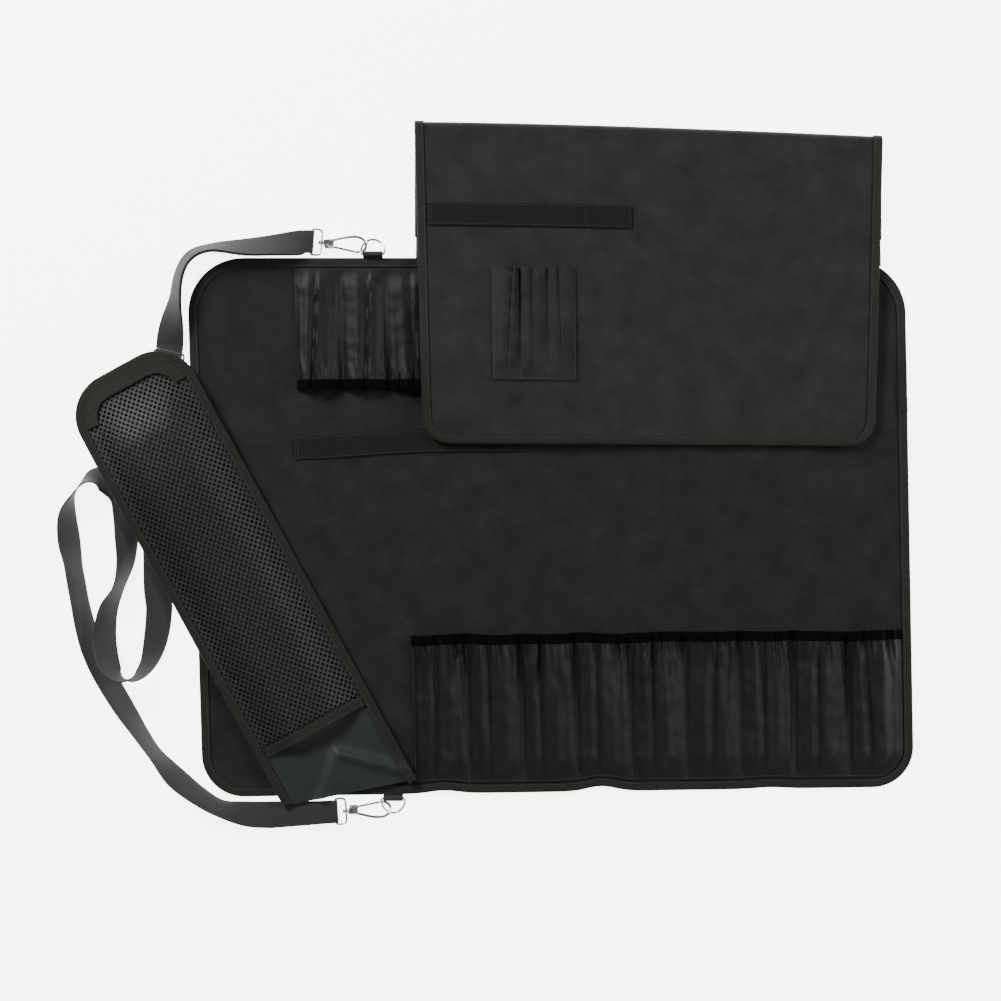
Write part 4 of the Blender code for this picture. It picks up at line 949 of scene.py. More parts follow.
@dataclass
class Band:
    """A flat ribbed elastic band, sewn across a cloth at both ends."""

    name: str
    node: str
    left: float
    length: float
    middle: float
    width: float
    place: Place
    level: float
    droop: float = 0.0
    thickness: float = BAND_ELASTIC

    def _middle(self, x: float) -> float:
        """Middle of the band at a flat place along it, where it droops at its left."""
        share = (x - self.left) / self.length
        return self.middle - self.droop * self.width * (1.0 - smooth(share / 0.6))

    def _arch(self, x: float, y: float) -> float:
        """How far the band rises between its ends."""
        return 0.0005 * math.sin(math.pi * min(max((x - self.left) / self.length, 0.0), 1.0))

    def _line(self, along: Iterable[float], side: float, high: float) -> list[Vector]:
        """Placed points along the band at a share of its width and a height."""
        return [self.place(x, self._middle(x) + side * self.width, high) for x in along]

    def build(self, sewing: Sewing) -> None:
        """Make the band and remember the seams at its ends and along its edges."""
        along = spread(self.left, self.left + self.length, 0.002)
        rows = [
            [(x, self._middle(x) + side * self.width) for x in along] for side in spread(-0.5, 0.5, 0.06)
        ]
        cloth = Cloth(self.name, rows, self.thickness, self.place, self._arch, self.level)
        cloth.make(BAND_FINISH, self.node)
        top = self.level + self.thickness
        for end in (0.0016, 0.0042, self.length - 0.0020):
            seam = [self._line([self.left + end], side, top + LIFT)[0] for side in spread(-0.48, 0.48, 0.12)]
            sewing.add(seam)
        for side in (-0.44, 0.44):
            sewing.add(self._line(along[::2], side, top + 0.0006))
        LOG.info("%s made", self.name)


# The flap

@dataclass
class Flap:
    """The flap's one cloth: sewn to the panel's top edge, folded over and back down."""

    panel: MainPanel
    width: float = 0.4665
    lower: float = 0.139
    upper: float = 0.316
    radius: float = 0.027
    left: float = 0.2262
    taper: float = 0.034
    fold_radius: float = 0.004
    fold_slant: float = 0.015
    slope: float = 0.003
    seam_run: float = 0.020
    heights: tuple[tuple[float, float], ...] = (
        (0.00, 0.0103), (0.10, 0.0094), (0.42, 0.0082), (0.70, 0.0076), (1.00, 0.0052),
    )
    lift: tuple[float, float, float, float, float] = (0.05, 0.74, 0.0102, 0.26, 0.26)

    def fold_end(self) -> float:
        """Flat length at which the upper part of the flap starts."""
        return self.lower + math.pi * self.fold_radius

    def total(self) -> float:
        """Flat length of the whole flap."""
        return self.fold_end() + self.upper

    def relief(self, share: float, down: float) -> float:
        """Creases and soft drapes of the folded flap, by shares of its width and upper part."""
        if down <= 0.0:
            return 0.0
        start = smooth(down / 0.10)
        bend = 0.010 * ripple(down * 3.1, 0.0, 4.0)
        crease = 0.0017 * hill(share - 0.372 - bend, 0.007) * (1.0 - smooth((down - 0.45) / 0.30))
        beside = 0.0011 * hill(share - 0.345 - bend, 0.012) * (1.0 - smooth((down - 0.30) / 0.30))
        long = 0.0013 * hill(share - 0.726 + bend, 0.010) * (0.6 + 0.4 * smooth(down / 0.5))
        broad = 0.0017 * (0.5 + 0.5 * ripple(share * 4.6, down * 2.6, 11.0))
        fine = 0.0007 * (0.5 + 0.5 * ripple(share * 14.0 + down * 3.0, down * 7.0, 3.0))
        low = smooth((down - 0.72) / 0.28)
        drape = 0.0030 * low * (hill(share - 0.33, 0.055) + 0.8 * hill(share - 0.65, 0.045))
        drape += 0.0022 * low * (hill(share - 0.89, 0.035) + 0.7 * hill(share - 0.47, 0.030))
        return start * (crease + beside + long + broad + fine + drape)

    def place(self, x: float, length: float, z: float) -> Vector:
        """Fold a flat point: up from the panel, over, and back down over it."""
        panel = self.panel
        share = x / self.width + 0.5
        centre = self.left + self.width / 2 - panel.width / 2 - panel.lean * panel.height / 2
        seam = panel.height / 2 - BINDING_WIDTH + GAP
        fold = seam + self.lower - self.fold_slant * max(share, 0.0) ** 1.5
        floor = TAPE + GAP + LIGHT_CLOTH
        if length < self.lower:
            way = length / self.lower
            over = 1.0 - smooth((length - BINDING_WIDTH) / self.seam_run)
            sewn = PANEL_CLOTH + 3 * TAPE + 4 * GAP + LIGHT_CLOTH
            return Vector((centre + x, seam + (fold - seam) * way, floor + (sewn - floor) * over - z))
        if length < self.fold_end():
            angle = (length - self.lower) / self.fold_radius
            reach = self.fold_radius + z
            high = floor + self.fold_radius - reach * math.cos(angle)
            return Vector((centre + x, fold + reach * math.sin(angle), high))
        down = (length - self.fold_end()) / self.upper
        lower = fold - self.upper - self.slope * share + self.fold_slant * max(share, 0.0) ** 1.5
        across, at, height, reach_across, reach_down = self.lift
        lifted = height * hill(share - across, reach_across) * hill(down - at, reach_down)
        level = read_table(self.heights, down) + lifted + self.relief(share, down)
        return Vector((
            centre + x * (1.0 - self.taper * down) + panel.lean * down * self.width * 0.06,
            fold + (lower - fold) * down,
            level + z,
        ))

    def half(self, length: float, inset: float) -> float:
        """Half of the flap's width at a flat length, inside its round lower corners."""
        return round_half(self.width, self.radius, length - (self.total() - self.radius), inset)

    def build(self, sewing: Sewing) -> None:
        """Make the flap's cloth and the tape round its sides and lower edge."""
        inset = TAPE + GAP
        start = self.total() - self.radius
        lengths = spread(0.0, self.lower, 0.006)[:-1]
        lengths += [self.lower + math.pi * self.fold_radius * step / 10 for step in range(10)]
        lengths += spread(self.fold_end(), start, 0.0028)
        lengths += arc_lengths(self.radius - inset, start, 0.0028)
        shares = both_sides(int(self.width / 0.0030))
        rows = [[(share * self.half(length, inset), length) for share in shares] for length in lengths]
        piece = Cloth("flap_cloth", rows, LIGHT_CLOTH, self.place).make(FLAP_FINISH, "flap")
        free = BINDING_WIDTH + self.seam_run + 2 * GAP
        half = self.width / 2
        sewn = [free] + [n for n in lengths if free < n < start - GAP]
        side = [(-half, length, 1.0, 0.0) for length in sewn]
        side += arc(-half + self.radius, start, self.radius, 180.0, 90.0, 12)
        edge = Edge(side + [(-x, length, -nx, ny) for x, length, nx, ny in reversed(side)], False)
        Binding("flap_tape", edge, LIGHT_CLOTH, self.place, 5.2).make("flap_binding", sewing)
        LOG.info("flap and its tape made")


# The pouch

@dataclass
class Pouch:
    """The mesh pouch: a lined back, a mesh front, its tapes and the cloth at its top end."""

    panel: MainPanel
    width: float = 0.130
    length: float = 0.483
    mouth: float = 0.413
    radius: float = 0.043
    angle: float = math.radians(-61.4)
    start: tuple[float, float] = (-0.606, 0.2967)
    slant: float = 0.31
    bulge: float = 0.011
    height: float = 0.0044
    end_band: float = 0.013
    lifts: tuple[tuple[float, float, float, float, float], ...] = (
        (0.36, -0.01, 0.0068, 0.90, 0.20), (-0.46, 0.235, 0.0100, 0.80, 0.155),
    )
    cell: tuple[float, float] = (0.0058, 0.0066)
    yarn_share: float = 0.46

    def relief(self, x: float, length: float) -> float:
        """Soft unevenness of the whole pouch, and the curled fold of its open end."""
        share = length / self.length
        broad = 0.0016 * (0.5 + 0.5 * ripple(x * 22.0, length * 14.0, 21.0))
        past = smooth((length - self.mouth) / 0.030)
        curl = 0.0050 * past * hill(length - self.mouth - 0.030 - 0.9 * abs(x - 0.008), 0.0065)
        rumple = 0.0016 * past * (0.5 + 0.5 * ripple(x * 70.0, length * 55.0, 31.0))
        return broad * smooth(share / 0.05) + curl + rumple

    def place(self, x: float, length: float, z: float) -> Vector:
        """Lay a flat point of the pouch across the panel's left part."""
        along = Vector((math.cos(self.angle), math.sin(self.angle), 0.0))
        across = Vector((-along.y, along.x, 0.0))
        level = self.height + TAPE + GAP + z + self.relief(x, length)
        for side, down, height, reach_across, reach_down in self.lifts:
            raised = hill(x / self.width - side, reach_across) * hill(length / self.length - down, reach_down)
            level += height * raised
        start = Vector((self.start[0] * self.panel.width, self.start[1] * self.panel.height, level))
        return start + along * length + across * x

    def end(self, x: float, share: float) -> float:
        """Flat length at a share of the pouch, whose lower end is cut at a slant."""
        return self.length * share + self.slant * x * smooth((share - 0.6) / 0.4)

    def half(self, length: float, inset: float) -> float:
        """Half of the pouch's width at a flat length, inside its round top corners."""
        return round_half(self.width, self.radius, self.radius - length, inset)

    def net_height(self, x: float, length: float) -> float:
        """Height of the mesh over the back: sewn at the edges and full in the middle."""
        inner = BINDING_WIDTH + GAP
        side = smooth((self.half(length, 0.0) - inner - abs(x)) / (self.width * 0.30))
        end = smooth((length - inner - self.end_band) / (self.width * 0.45))
        return LIGHT_CLOTH + GAP + self.bulge * side * end

    def _build_back(self) -> None:
        """Make the lined back, which reaches past the mouth."""
        inset = TAPE + GAP
        lengths = sorted(self.radius - n for n in arc_lengths(self.radius - inset, 0.0, 0.003))
        shares = both_sides(int(self.width / 0.0026))
        rows = [[(s * self.half(n, inset), n) for s in shares] for n in lengths]
        half = self.width / 2 - inset
        for share in spread(self.radius / self.length, 1.0, 0.0055):
            rows.append([(s * half, self.end(s * half, share)) for s in shares])
        piece = Cloth("pouch_lining", rows, LIGHT_CLOTH, self.place).make(LINING_FINISH, "pouch_back")

    def _build_net(self) -> None:
        """Make the fine mesh: staggered holes with round corners between its yarns."""
        built = bmesh.new()
        across, along = self.cell
        first = BINDING_WIDTH + 0.002
        last = self.mouth - ELASTIC_WIDTH + 0.004
        columns = int(self.width / across) + 2
        rows = int((last - first) / along)
        found: dict[tuple[int, int], bmesh.types.BMVert] = {}

        def corner(i: int, j: int) -> bmesh.types.BMVert:
            """The shared point at a place of the mesh, counted in quarters of a cell."""
            if (i, j) not in found:
                found[(i, j)] = built.verts.new((i * across / 4, first + j * along / 4, 0.0))
            return found[(i, j)]

        for row in range(0, 2 * rows + 1):
            for column in range(-columns, columns + 1):
                if (row + column) % 2:
                    continue
                i = 2 * column
                j = 2 * row
                x = i * across / 4
                length = first + j * along / 4
                if abs(x) > self.half(length, 0.0) - 0.0045 or length < self.radius - self._reach(x) + 0.0045:
                    continue
                if length > last:
                    continue
                ring = [corner(i + a, j + b) for a, b in
                        ((2, 0), (1, 1), (0, 2), (-1, 1), (-2, 0), (-1, -1), (0, -2), (1, -1))]
                centre = Vector((x, length, 0.0))
                inner = []
                for number, vertex in enumerate(ring):
                    share = 0.54 if number % 2 == 0 else 0.76
                    inner.append(built.verts.new(centre + (vertex.co - centre) * share))
                for a, b, c, d in zip(ring, ring[1:] + ring[:1], inner[1:] + inner[:1], inner):
                    built.faces.new((a, b, c, d))
        flat = built.loops.layers.uv.new("flat")
        for face in built.faces:
            for loop in face.loops:
                loop[flat].uv = (loop.vert.co.x, loop.vert.co.y)
        for vertex in built.verts:
            x, length, _ = vertex.co
            vertex.co = self.place(x, length, self.net_height(x, length) + self._yarn(x, length))
        bmesh.ops.recalc_face_normals(built, faces=built.faces)
        if sum(face.normal.z for face in built.faces) < 0:
            bmesh.ops.reverse_faces(built, faces=built.faces)
        mesh = bpy.data.meshes.new("net_flat")
        built.to_mesh(mesh)
        built.free()
        mesh = thickened(mesh, 0.0007, 1.0)
        piece = finish_piece(mesh, "pouch_mesh", NET_FINISH, ["pouch_net"])

    def _reach(self, x: float) -> float:
        """How far up the round end the mesh reaches at a place across it."""
        past = abs(x) - (self.width / 2 - self.radius)
        if past <= 0:
            return self.radius
        return math.sqrt(max(self.radius ** 2 - past ** 2, 0.0))

    @staticmethod
    def _yarn(x: float, length: float) -> float:
        """Small unevenness of the yarns."""
        return 0.0002 * (1.0 + ripple(x * 210.0, length * 210.0, 41.0))

    def edge(self) -> Edge:
        """The bound edge: up the left side, round the top end and down the right."""
        half = self.width / 2
        shares = spread(self.radius / self.length, 1.0, 0.02)
        path = [(-half, self.end(-half, share), 1.0, 0.0) for share in reversed(shares)]
        turns = arc(-half + self.radius, self.radius, self.radius, 180.0, 270.0, 14)
        other = [(-x, length, -nx, ny) for x, length, nx, ny in reversed(turns)]
        right = [(half, self.end(half, share), -1.0, 0.0) for share in shares]
        return Edge(path + turns + other + right, False)

    def build(self, sewing: Sewing) -> None:
        """Make the back, the mesh, the tapes and the cloth at the top end."""
        self._build_back()
        self._build_net()
        edge = self.edge()
        thick = 2 * LIGHT_CLOTH + GAP
        Binding("pouch_tape", edge, thick, self.place, 8.4).make("pouch_binding", sewing)
        half = self.width / 2 - BINDING_WIDTH - HEM_GAP
        across = spread(-half, half, 0.002)
        rows = [[(x, n) for x in across] for n in spread(self.mouth - ELASTIC_WIDTH, self.mouth, 0.0014)]
        trim = Cloth("pouch_mouth_tape", rows, ELASTIC, self.place, self.net_height)
        trim.make(BINDING_FINISH, "pouch_mouth_binding")
        for n in (self.mouth - ELASTIC_WIDTH + TRIM_INSET, self.mouth - TRIM_INSET):
            sewing.add([self.place(x, n, self.net_height(x, n) + ELASTIC + LIFT) for x in across])
        level = thick + 2 * HOLDER_GAP
        top = [spot for spot in edge.dense(0.002).spots if spot[1] < self.radius - GAP]
        inner = BINDING_WIDTH + GAP
        rows = [
            [(x + nx * inset, n + ny * inset) for x, n, nx, ny in top]
            for inset in spread(inner, inner + self.end_band, 0.0016)
        ]
        rows.reverse()
        band = Cloth("pouch_end_cloth", rows, LIGHT_CLOTH, self.place, level=level)
        band.make(BINDING_FINISH, "pouch_end_band")
        seam = inner + self.end_band - TRIM_INSET
        sewing.add(Edge(top, False).inside(seam, level + LIGHT_CLOTH + LIFT, self.place))
        LOG.info("pouch made")


def thickened(mesh: bpy.types.Mesh, thickness: float, offset: float) -> bpy.types.Mesh:
    """Give an open mesh its thickness with Solidify.

    Args:
        mesh: the open mesh, used up here.
        thickness: the wall in metres.
        offset: 1 to thicken along the faces' normals, 0 to both sides.

    Returns:
        A new closed mesh.
    """
    source = bpy.data.objects.new(mesh.name + "_open", mesh)
    bpy.context.scene.collection.objects.link(source)
    change = source.modifiers.new("thickness", "SOLIDIFY")
    change.thickness = thickness
    change.offset = offset
    made = changed_mesh(source)
    bpy.data.meshes.remove(mesh)
    made.shade_smooth()
    made.set_sharp_from_angle(angle=SHARP_CLOTH)
    return made


# Metal shapes

def tube(name: str, path: Sequence[tuple[float, float]], radius: float, closed: bool, place: Matrix,
         sides: int = 14) -> bpy.types.Mesh:
    """A round wire along a path in its own plane, with domed ends where it is open.

    Args:
        name: the mesh's name.
        path: the wire's middle as (x, y) places.
        radius: half of the wire's thickness.
        closed: whether the wire's ends meet.
        place: where the plane lies.
        sides: how many points go round the wire.

    Returns:
        The wire's closed mesh.
    """
    count = len(path)
    rows: list[tuple[Vector, Vector, float]] = []
    for number, (x, y) in enumerate(path):
        before = path[number - 1] if closed or number else path[0]
        after = path[(number + 1) % count] if closed or number < count - 1 else path[-1]
        way = Vector((after[0] - before[0], after[1] - before[1], 0.0)).normalized()
        rows.append((Vector((x, y, 0.0)), way, radius))
    if not closed:
        first, way, _ = rows[0]
        last, onward, _ = rows[-1]
        domes = (math.radians(30.0), math.radians(58.0), math.radians(80.0))
        start = [(first - way * radius * math.sin(a), way, radius * math.cos(a)) for a in reversed(domes)]
        end = [(last + onward * radius * math.sin(a), onward, radius * math.cos(a)) for a in domes]
        rows = start + rows + end
    turns = [2.0 * math.pi * step / sides for step in range(sides)]
    rings = []
    for middle, way, size in rows:
        side = Vector((-way.y, way.x, 0.0))
        rings.append([
            place @ (middle + side * size * math.cos(a) + Vector((0, 0, size * math.sin(a)))) for a in turns
        ])
    lengths = run_lengths([middle for middle, _, _ in rows])
    return sweep(name, rings, closed, lengths, [radius * a for a in turns])


def turned(name: str, profile: Sequence[tuple[float, float]], place: Matrix, hollow: bool,
           sides: int = 24) -> bpy.types.Mesh:
    """A turned piece about its own X axis.

    Args:
        name: the mesh's name.
        profile: (place along the axis, radius) points; a closed loop where the piece is hollow.
        place: where the axis lies.
        hollow: whether the profile is a loop round a bore.
        sides: how many points go round the axis.

    Returns:
        The closed mesh.
    """
    angles = [2.0 * math.pi * step / sides for step in range(sides)]
    if hollow:
        rings = [
            [place @ Vector((x, radius * math.cos(a), radius * math.sin(a))) for x, radius in profile]
            for a in angles
        ]
        return sweep(name, rings, True, angles, [x for x, _ in profile])
    rings = [
        [place @ Vector((x, radius * math.cos(a), radius * math.sin(a))) for a in angles]
        for x, radius in profile
    ]
    return sweep(name, rings, False, [x for x, _ in profile], angles)


def rod_profile(low: float, high: float, radius: float, edge: float) -> list[tuple[float, float]]:
    """Profile of a rod with both ends rounded off by an edge radius."""
    turns = (0.0, 30.0, 60.0, 90.0)
    start = [
        (low + edge * (1 - math.sin(math.radians(a))), radius - edge * (1 - math.cos(math.radians(a))))
        for a in reversed(turns)
    ]
    end = [(low + high - x, size) for x, size in reversed(start)]
    return start + end


def sleeve_profile(low: float, high: float, inner: float, outer: float,
                   edge: float) -> list[tuple[float, float]]:
    """Loop of a sleeve with a bore, its outer edges rounded."""
    return rod_profile(low, high, outer, edge) + [(high, inner), (low, inner)]


def round_rectangle(low: Sequence[float], high: Sequence[float], radius: float,
                    steps: int = 5) -> list[tuple[float, float]]:
    """Outline of a rectangle with round corners, anticlockwise."""
    corners = (
        (high[0] - radius, high[1] - radius, 0.0), (low[0] + radius, high[1] - radius, 90.0),
        (low[0] + radius, low[1] + radius, 180.0), (high[0] - radius, low[1] + radius, 270.0),
    )
    return [spot[:2] for x, y, start in corners for spot in arc(x, y, radius, start, start + 90.0, steps)]


def round_block(name: str, low: Sequence[float], high: Sequence[float], corner: float, edge: float,
                place: Matrix) -> bpy.types.Mesh:
    """A block with round corners and softened upper and lower edges.

    Args:
        name: the mesh's name.
        low: its lowest corner.
        high: its highest corner.
        corner: radius of its four upright corners.
        edge: radius of its other edges.
        place: where it lies.

    Returns:
        The closed mesh.
    """
    rings = []
    heights = []
    turns = (0.0, 30.0, 60.0, 90.0)
    steps = [(low[2], -1.0, a) for a in turns] + [(high[2], 1.0, a) for a in reversed(turns)]
    for level, sign, angle in steps:
        turn = math.radians(angle)
        inset = edge * (1.0 - math.sin(turn))
        height = level - sign * edge * (1.0 - math.cos(turn))
        outline = round_rectangle(
            (low[0] + inset, low[1] + inset), (high[0] - inset, high[1] - inset), max(corner - inset, 0.0002),
        )
        rings.append([place @ Vector((x, y, height)) for x, y in outline])
        heights.append(height)
    return sweep(name, rings, False, heights, [0.001 * step for step in range(len(rings[0]))])


def joined(name: str, meshes: Sequence[bpy.types.Mesh]) -> bpy.types.Mesh:
    """One mesh of several, which are used up."""
    built = bmesh.new()
    for mesh in meshes:
        built.from_mesh(mesh)
        bpy.data.meshes.remove(mesh)
    made = bpy.data.meshes.new(name)
    built.to_mesh(made)
    built.free()
    return made


# The strap's ends, with the strap's and the wires' sizes

WIRE = 0.0022
HOOK_WIRE = 0.0030
RING_WIRE = 0.0025
STRAP_CLOTH = 0.0013
STRAP_WIDTH = 0.027
HOOK_ROLL = math.radians(22.0)
HOOK_WIRE_PATH = (
    (0.0070, 0.0020), (0.0140, 0.0042), (0.0230, 0.0068), (0.0310, 0.0083), (0.0375, 0.0080),
    (0.0425, 0.0050), (0.0444, 0.0004), (0.0430, -0.0038), (0.0395, -0.0064), (0.0350, -0.0072),
)


@dataclass
class StrapEnd:
    """One end of the strap: swivel eye, snap hook with its gate, D-ring and webbing tab."""

    name: str
    side: int
    along: float
    outside: float
    swivel: tuple[float, float]
    heading: float
    hook_body: Body
    gate_body: Body
    ring_height: float = 0.0073
    hook_height: float = 0.0044
    slope: float = 22.0
    eye_spread: float = 0.0255
    eye_depth: float = 0.0108
    eye_corner: float = 0.0040
    barrel_length: float = 0.0030
    barrel_radius: float = 0.0030
    stem_radius: float = 0.0012
    head_radius: float = 0.0023
    ring_width: float = 0.0262
    ring_depth: float = 0.0172
    tab_width: float = 0.0196
    tab_cloth: float = 0.0011
    pivot: tuple[float, float] = (0.0100, -0.0034)
    gate_end: tuple[float, float] = (0.0332, -0.0069)
    pin_radius: float = 0.0008
    gate_barrel: float = 0.0021
    gate_half: float = 0.0013
    cheek: float = 0.0010

    def places(self, panel: MainPanel) -> tuple[Vector, Matrix]:
        """The ring bar's middle and the swivel's matrix.

        Args:
            panel: the panel that the ring's tab is sewn to.

        Returns:
            The bar's middle, and the swivel's place with its X axis along the hook.
        """
        edge = panel.place(self.along * panel.width, self.side * panel.height / 2, 0.0)
        bar = Vector((edge.x, edge.y + self.side * self.outside, self.ring_height))
        swivel = bar + Vector((self.swivel[0], self.side * self.swivel[1], 0.0))
        swivel.z = self.hook_height
        turn = Matrix.Rotation(math.radians(self.side * self.heading), 4, "Z")
        return bar, Matrix.Translation(swivel) @ turn

    def _eye(self, place: Matrix) -> bpy.types.Mesh:
        """The swivel eye's wire loop and the barrel on its cross wire."""
        half = self.eye_spread / 2
        corner = self.eye_corner
        back = -self.eye_depth
        path = [(0.0, self.barrel_radius * 0.7), (0.0, half - corner)]
        path += [
            (corner * (math.cos(a) - 1.0), half - corner + corner * math.sin(a))
            for a in (math.radians(10.0 * step) for step in range(1, 10))
        ]
        rear = WIRE * 1.1
        path += [
            (back + rear * (1 - math.sin(a)), half - rear * (1 - math.cos(a)))
            for a in (math.radians(18.0 * step) for step in range(6))
        ]
        path = path + [(x, -y) for x, y in reversed(path)]
        loop = tube(self.name + "_eye_wire", path, WIRE / 2, False, place)
        reach = self.barrel_length / 2
        sleeve = sleeve_profile(-reach, reach, self.stem_radius + GAP, self.barrel_radius, 0.0006)
        return joined(self.name + "_eye", [loop, turned(self.name + "_barrel", sleeve, place, True)])

    def _hook(self, place: Matrix) -> bpy.types.Mesh:
        """The hook: bent wire, body with two cheeks, pin, stem and the stem's head."""
        name = self.name
        neck = self.barrel_length / 2 + GAP
        head = -neck
        pivot = Vector((self.pivot[0], self.side * self.pivot[1], 0.0))
        low = self.gate_half + GAP
        high = low + self.cheek
        bend = [(x, self.side * y) for x, y in catmull(HOOK_WIRE_PATH, 6)]
        body = sorted((-self.side * 0.0026, self.side * 0.0042))
        cheek = sorted((self.side * (self.pivot[1] - 0.0018), self.side * 0.0042))
        stem = rod_profile(head - GAP, neck + 0.002, self.stem_radius, 0.0003)
        shapes = [
            tube(name + "_arm", bend, HOOK_WIRE / 2, False, place, 16),
            turned(name + "_stem", stem, place, False),
            turned(name + "_head", rod_profile(head - 0.0016, head, self.head_radius, 0.0005), place, False),
            round_block(
                name + "_body", (neck, body[0], -high),
                (self.pivot[0] - self.gate_barrel - GAP, body[1], high), 0.0014, 0.0009, place,
            ),
        ]
        for sign in (-1, 1):
            bottom, top = sorted((sign * low, sign * high))
            shapes.append(round_block(
                name + "_cheek", (neck + 0.0010, cheek[0], bottom), (self.pivot[0] + 0.0020, cheek[1], top),
                0.0017, 0.0003, place,
            ))
        upright = place @ Matrix.Translation(pivot) @ Matrix.Rotation(-math.pi / 2, 4, "Y")
        pin = rod_profile(-high - 0.0001, high + 0.0001, self.pin_radius, 0.0003)
        shapes.append(turned(name + "_pin", pin, upright, False))
        return joined(name + "_hook_shape", shapes)

    def _gate(self, place: Matrix) -> bpy.types.Mesh:
        """The gate: a round bar to the hook's nose and the barrel on its pin."""
        pivot = Vector((self.pivot[0], self.side * self.pivot[1], 0.0))
        tip = Vector((self.gate_end[0], self.side * self.gate_end[1], 0.0))
        along = (tip - pivot).normalized()
        start = pivot + along * 0.0016
        steps = [start + (tip - start) * step / 8 for step in range(9)]
        bar = tube(self.name + "_bar", [(p.x, p.y) for p in steps], self.gate_half, False, place, 14)
        upright = place @ Matrix.Translation(pivot) @ Matrix.Rotation(-math.pi / 2, 4, "Y")
        half = self.gate_half
        sleeve = sleeve_profile(-half, half, self.pin_radius + GAP, self.gate_barrel, 0.0003)
        return joined(self.name + "_gate_shape", [bar, turned(self.name + "_roll", sleeve, upright, True)])

    def _ring(self, bar: Vector) -> bpy.types.Mesh:
        """The D-ring's straight bar and bow, sloping down from the tab."""
        half = (self.ring_width - RING_WIRE) / 2
        reach = self.ring_depth - RING_WIRE / 2
        corner = 0.0016
        path = [(half * (2.0 * step / 10 - 1.0) * 0.93, 0.0) for step in range(11)]
        path += [(half - corner * 0.45, 0.0003), (half - corner * 0.12, 0.0010)]
        for step in range(33):
            angle = math.pi * step / 32
            path.append((half * math.cos(angle), corner + (reach - corner) * math.sin(angle)))
        path += [(-half + corner * 0.12, 0.0010), (-half + corner * 0.45, 0.0003)]
        slope = math.radians(self.slope)
        tilt = Matrix((
            (1.0, 0.0, 0.0, bar.x),
            (0.0, self.side * math.cos(slope), -self.side * math.sin(slope), bar.y),
            (0.0, -math.sin(slope), -math.cos(slope), bar.z),
            (0.0, 0.0, 0.0, 1.0),
        ))
        return tube(self.name + "_ring_wire", path, RING_WIRE / 2, True, tilt)

    def _tab(self, bar: Vector) -> bpy.types.Mesh:
        """The webbing tab folded round the ring's bar and into the panel's tape."""
        radius = RING_WIRE / 2 + GAP
        level = PANEL_CLOTH / 2 + TAPE + GAP - self.ring_height
        inner = [(-self.outside, level + 0.0008), (-self.outside * 0.7, level + 0.0012)]
        for step in range(27):
            angle = math.radians(160.0 - 10.0 * step)
            inner.append((radius * math.cos(angle), radius * math.sin(angle)))
        inner += [(-self.outside * 0.7, level - 0.0010), (-self.outside, level - 0.0006)]
        half = self.tab_width / 2
        rings = []
        lengths = run_lengths(inner)
        for number, (y, z) in enumerate(inner):
            before = inner[max(number - 1, 0)]
            after = inner[min(number + 1, len(inner) - 1)]
            way = Vector((after[0] - before[0], after[1] - before[1])).normalized()
            out = (-way.y, way.x)
            ring = []
            for x, up in ((-half, 0.0), (half, 0.0), (half, self.tab_cloth), (half * 0.33, self.tab_cloth),
                          (-half * 0.33, self.tab_cloth), (-half, self.tab_cloth)):
                spot = Vector((x, self.side * (y + out[0] * up), z + out[1] * up))
                ring.append(bar + spot)
            rings.append(ring)
        return sweep(self.name + "_tab_web", rings, False, lengths, [-half, half, half, 0.003, -0.003, -half])

    def build(self, panel: MainPanel) -> None:
        """Make the end's pieces, each on its body.

        Args:
            panel: the panel that the ring's tab is sewn to.
        """
        bar, place = self.places(panel)
        rolled = place @ Matrix.Rotation(self.side * HOOK_ROLL, 4, "X")
        name = self.name
        finish_piece(self._eye(place), name + "_eye", NICKEL, [name + "_strap_eye"])
        finish_piece(self._hook(rolled), name + "_snap", NICKEL, [name + "_hook"], self.hook_body)
        finish_piece(self._gate(rolled), name + "_snap_gate", NICKEL, [name + "_gate"], self.gate_body)
        finish_piece(self._ring(bar), name + "_ring", NICKEL, [name + "_d_ring"])
        finish_piece(self._tab(bar), name + "_tab", STRAP_FINISH, [name + "_ring_tab"])
        LOG.info("%s end of the strap made", name)


# The strap

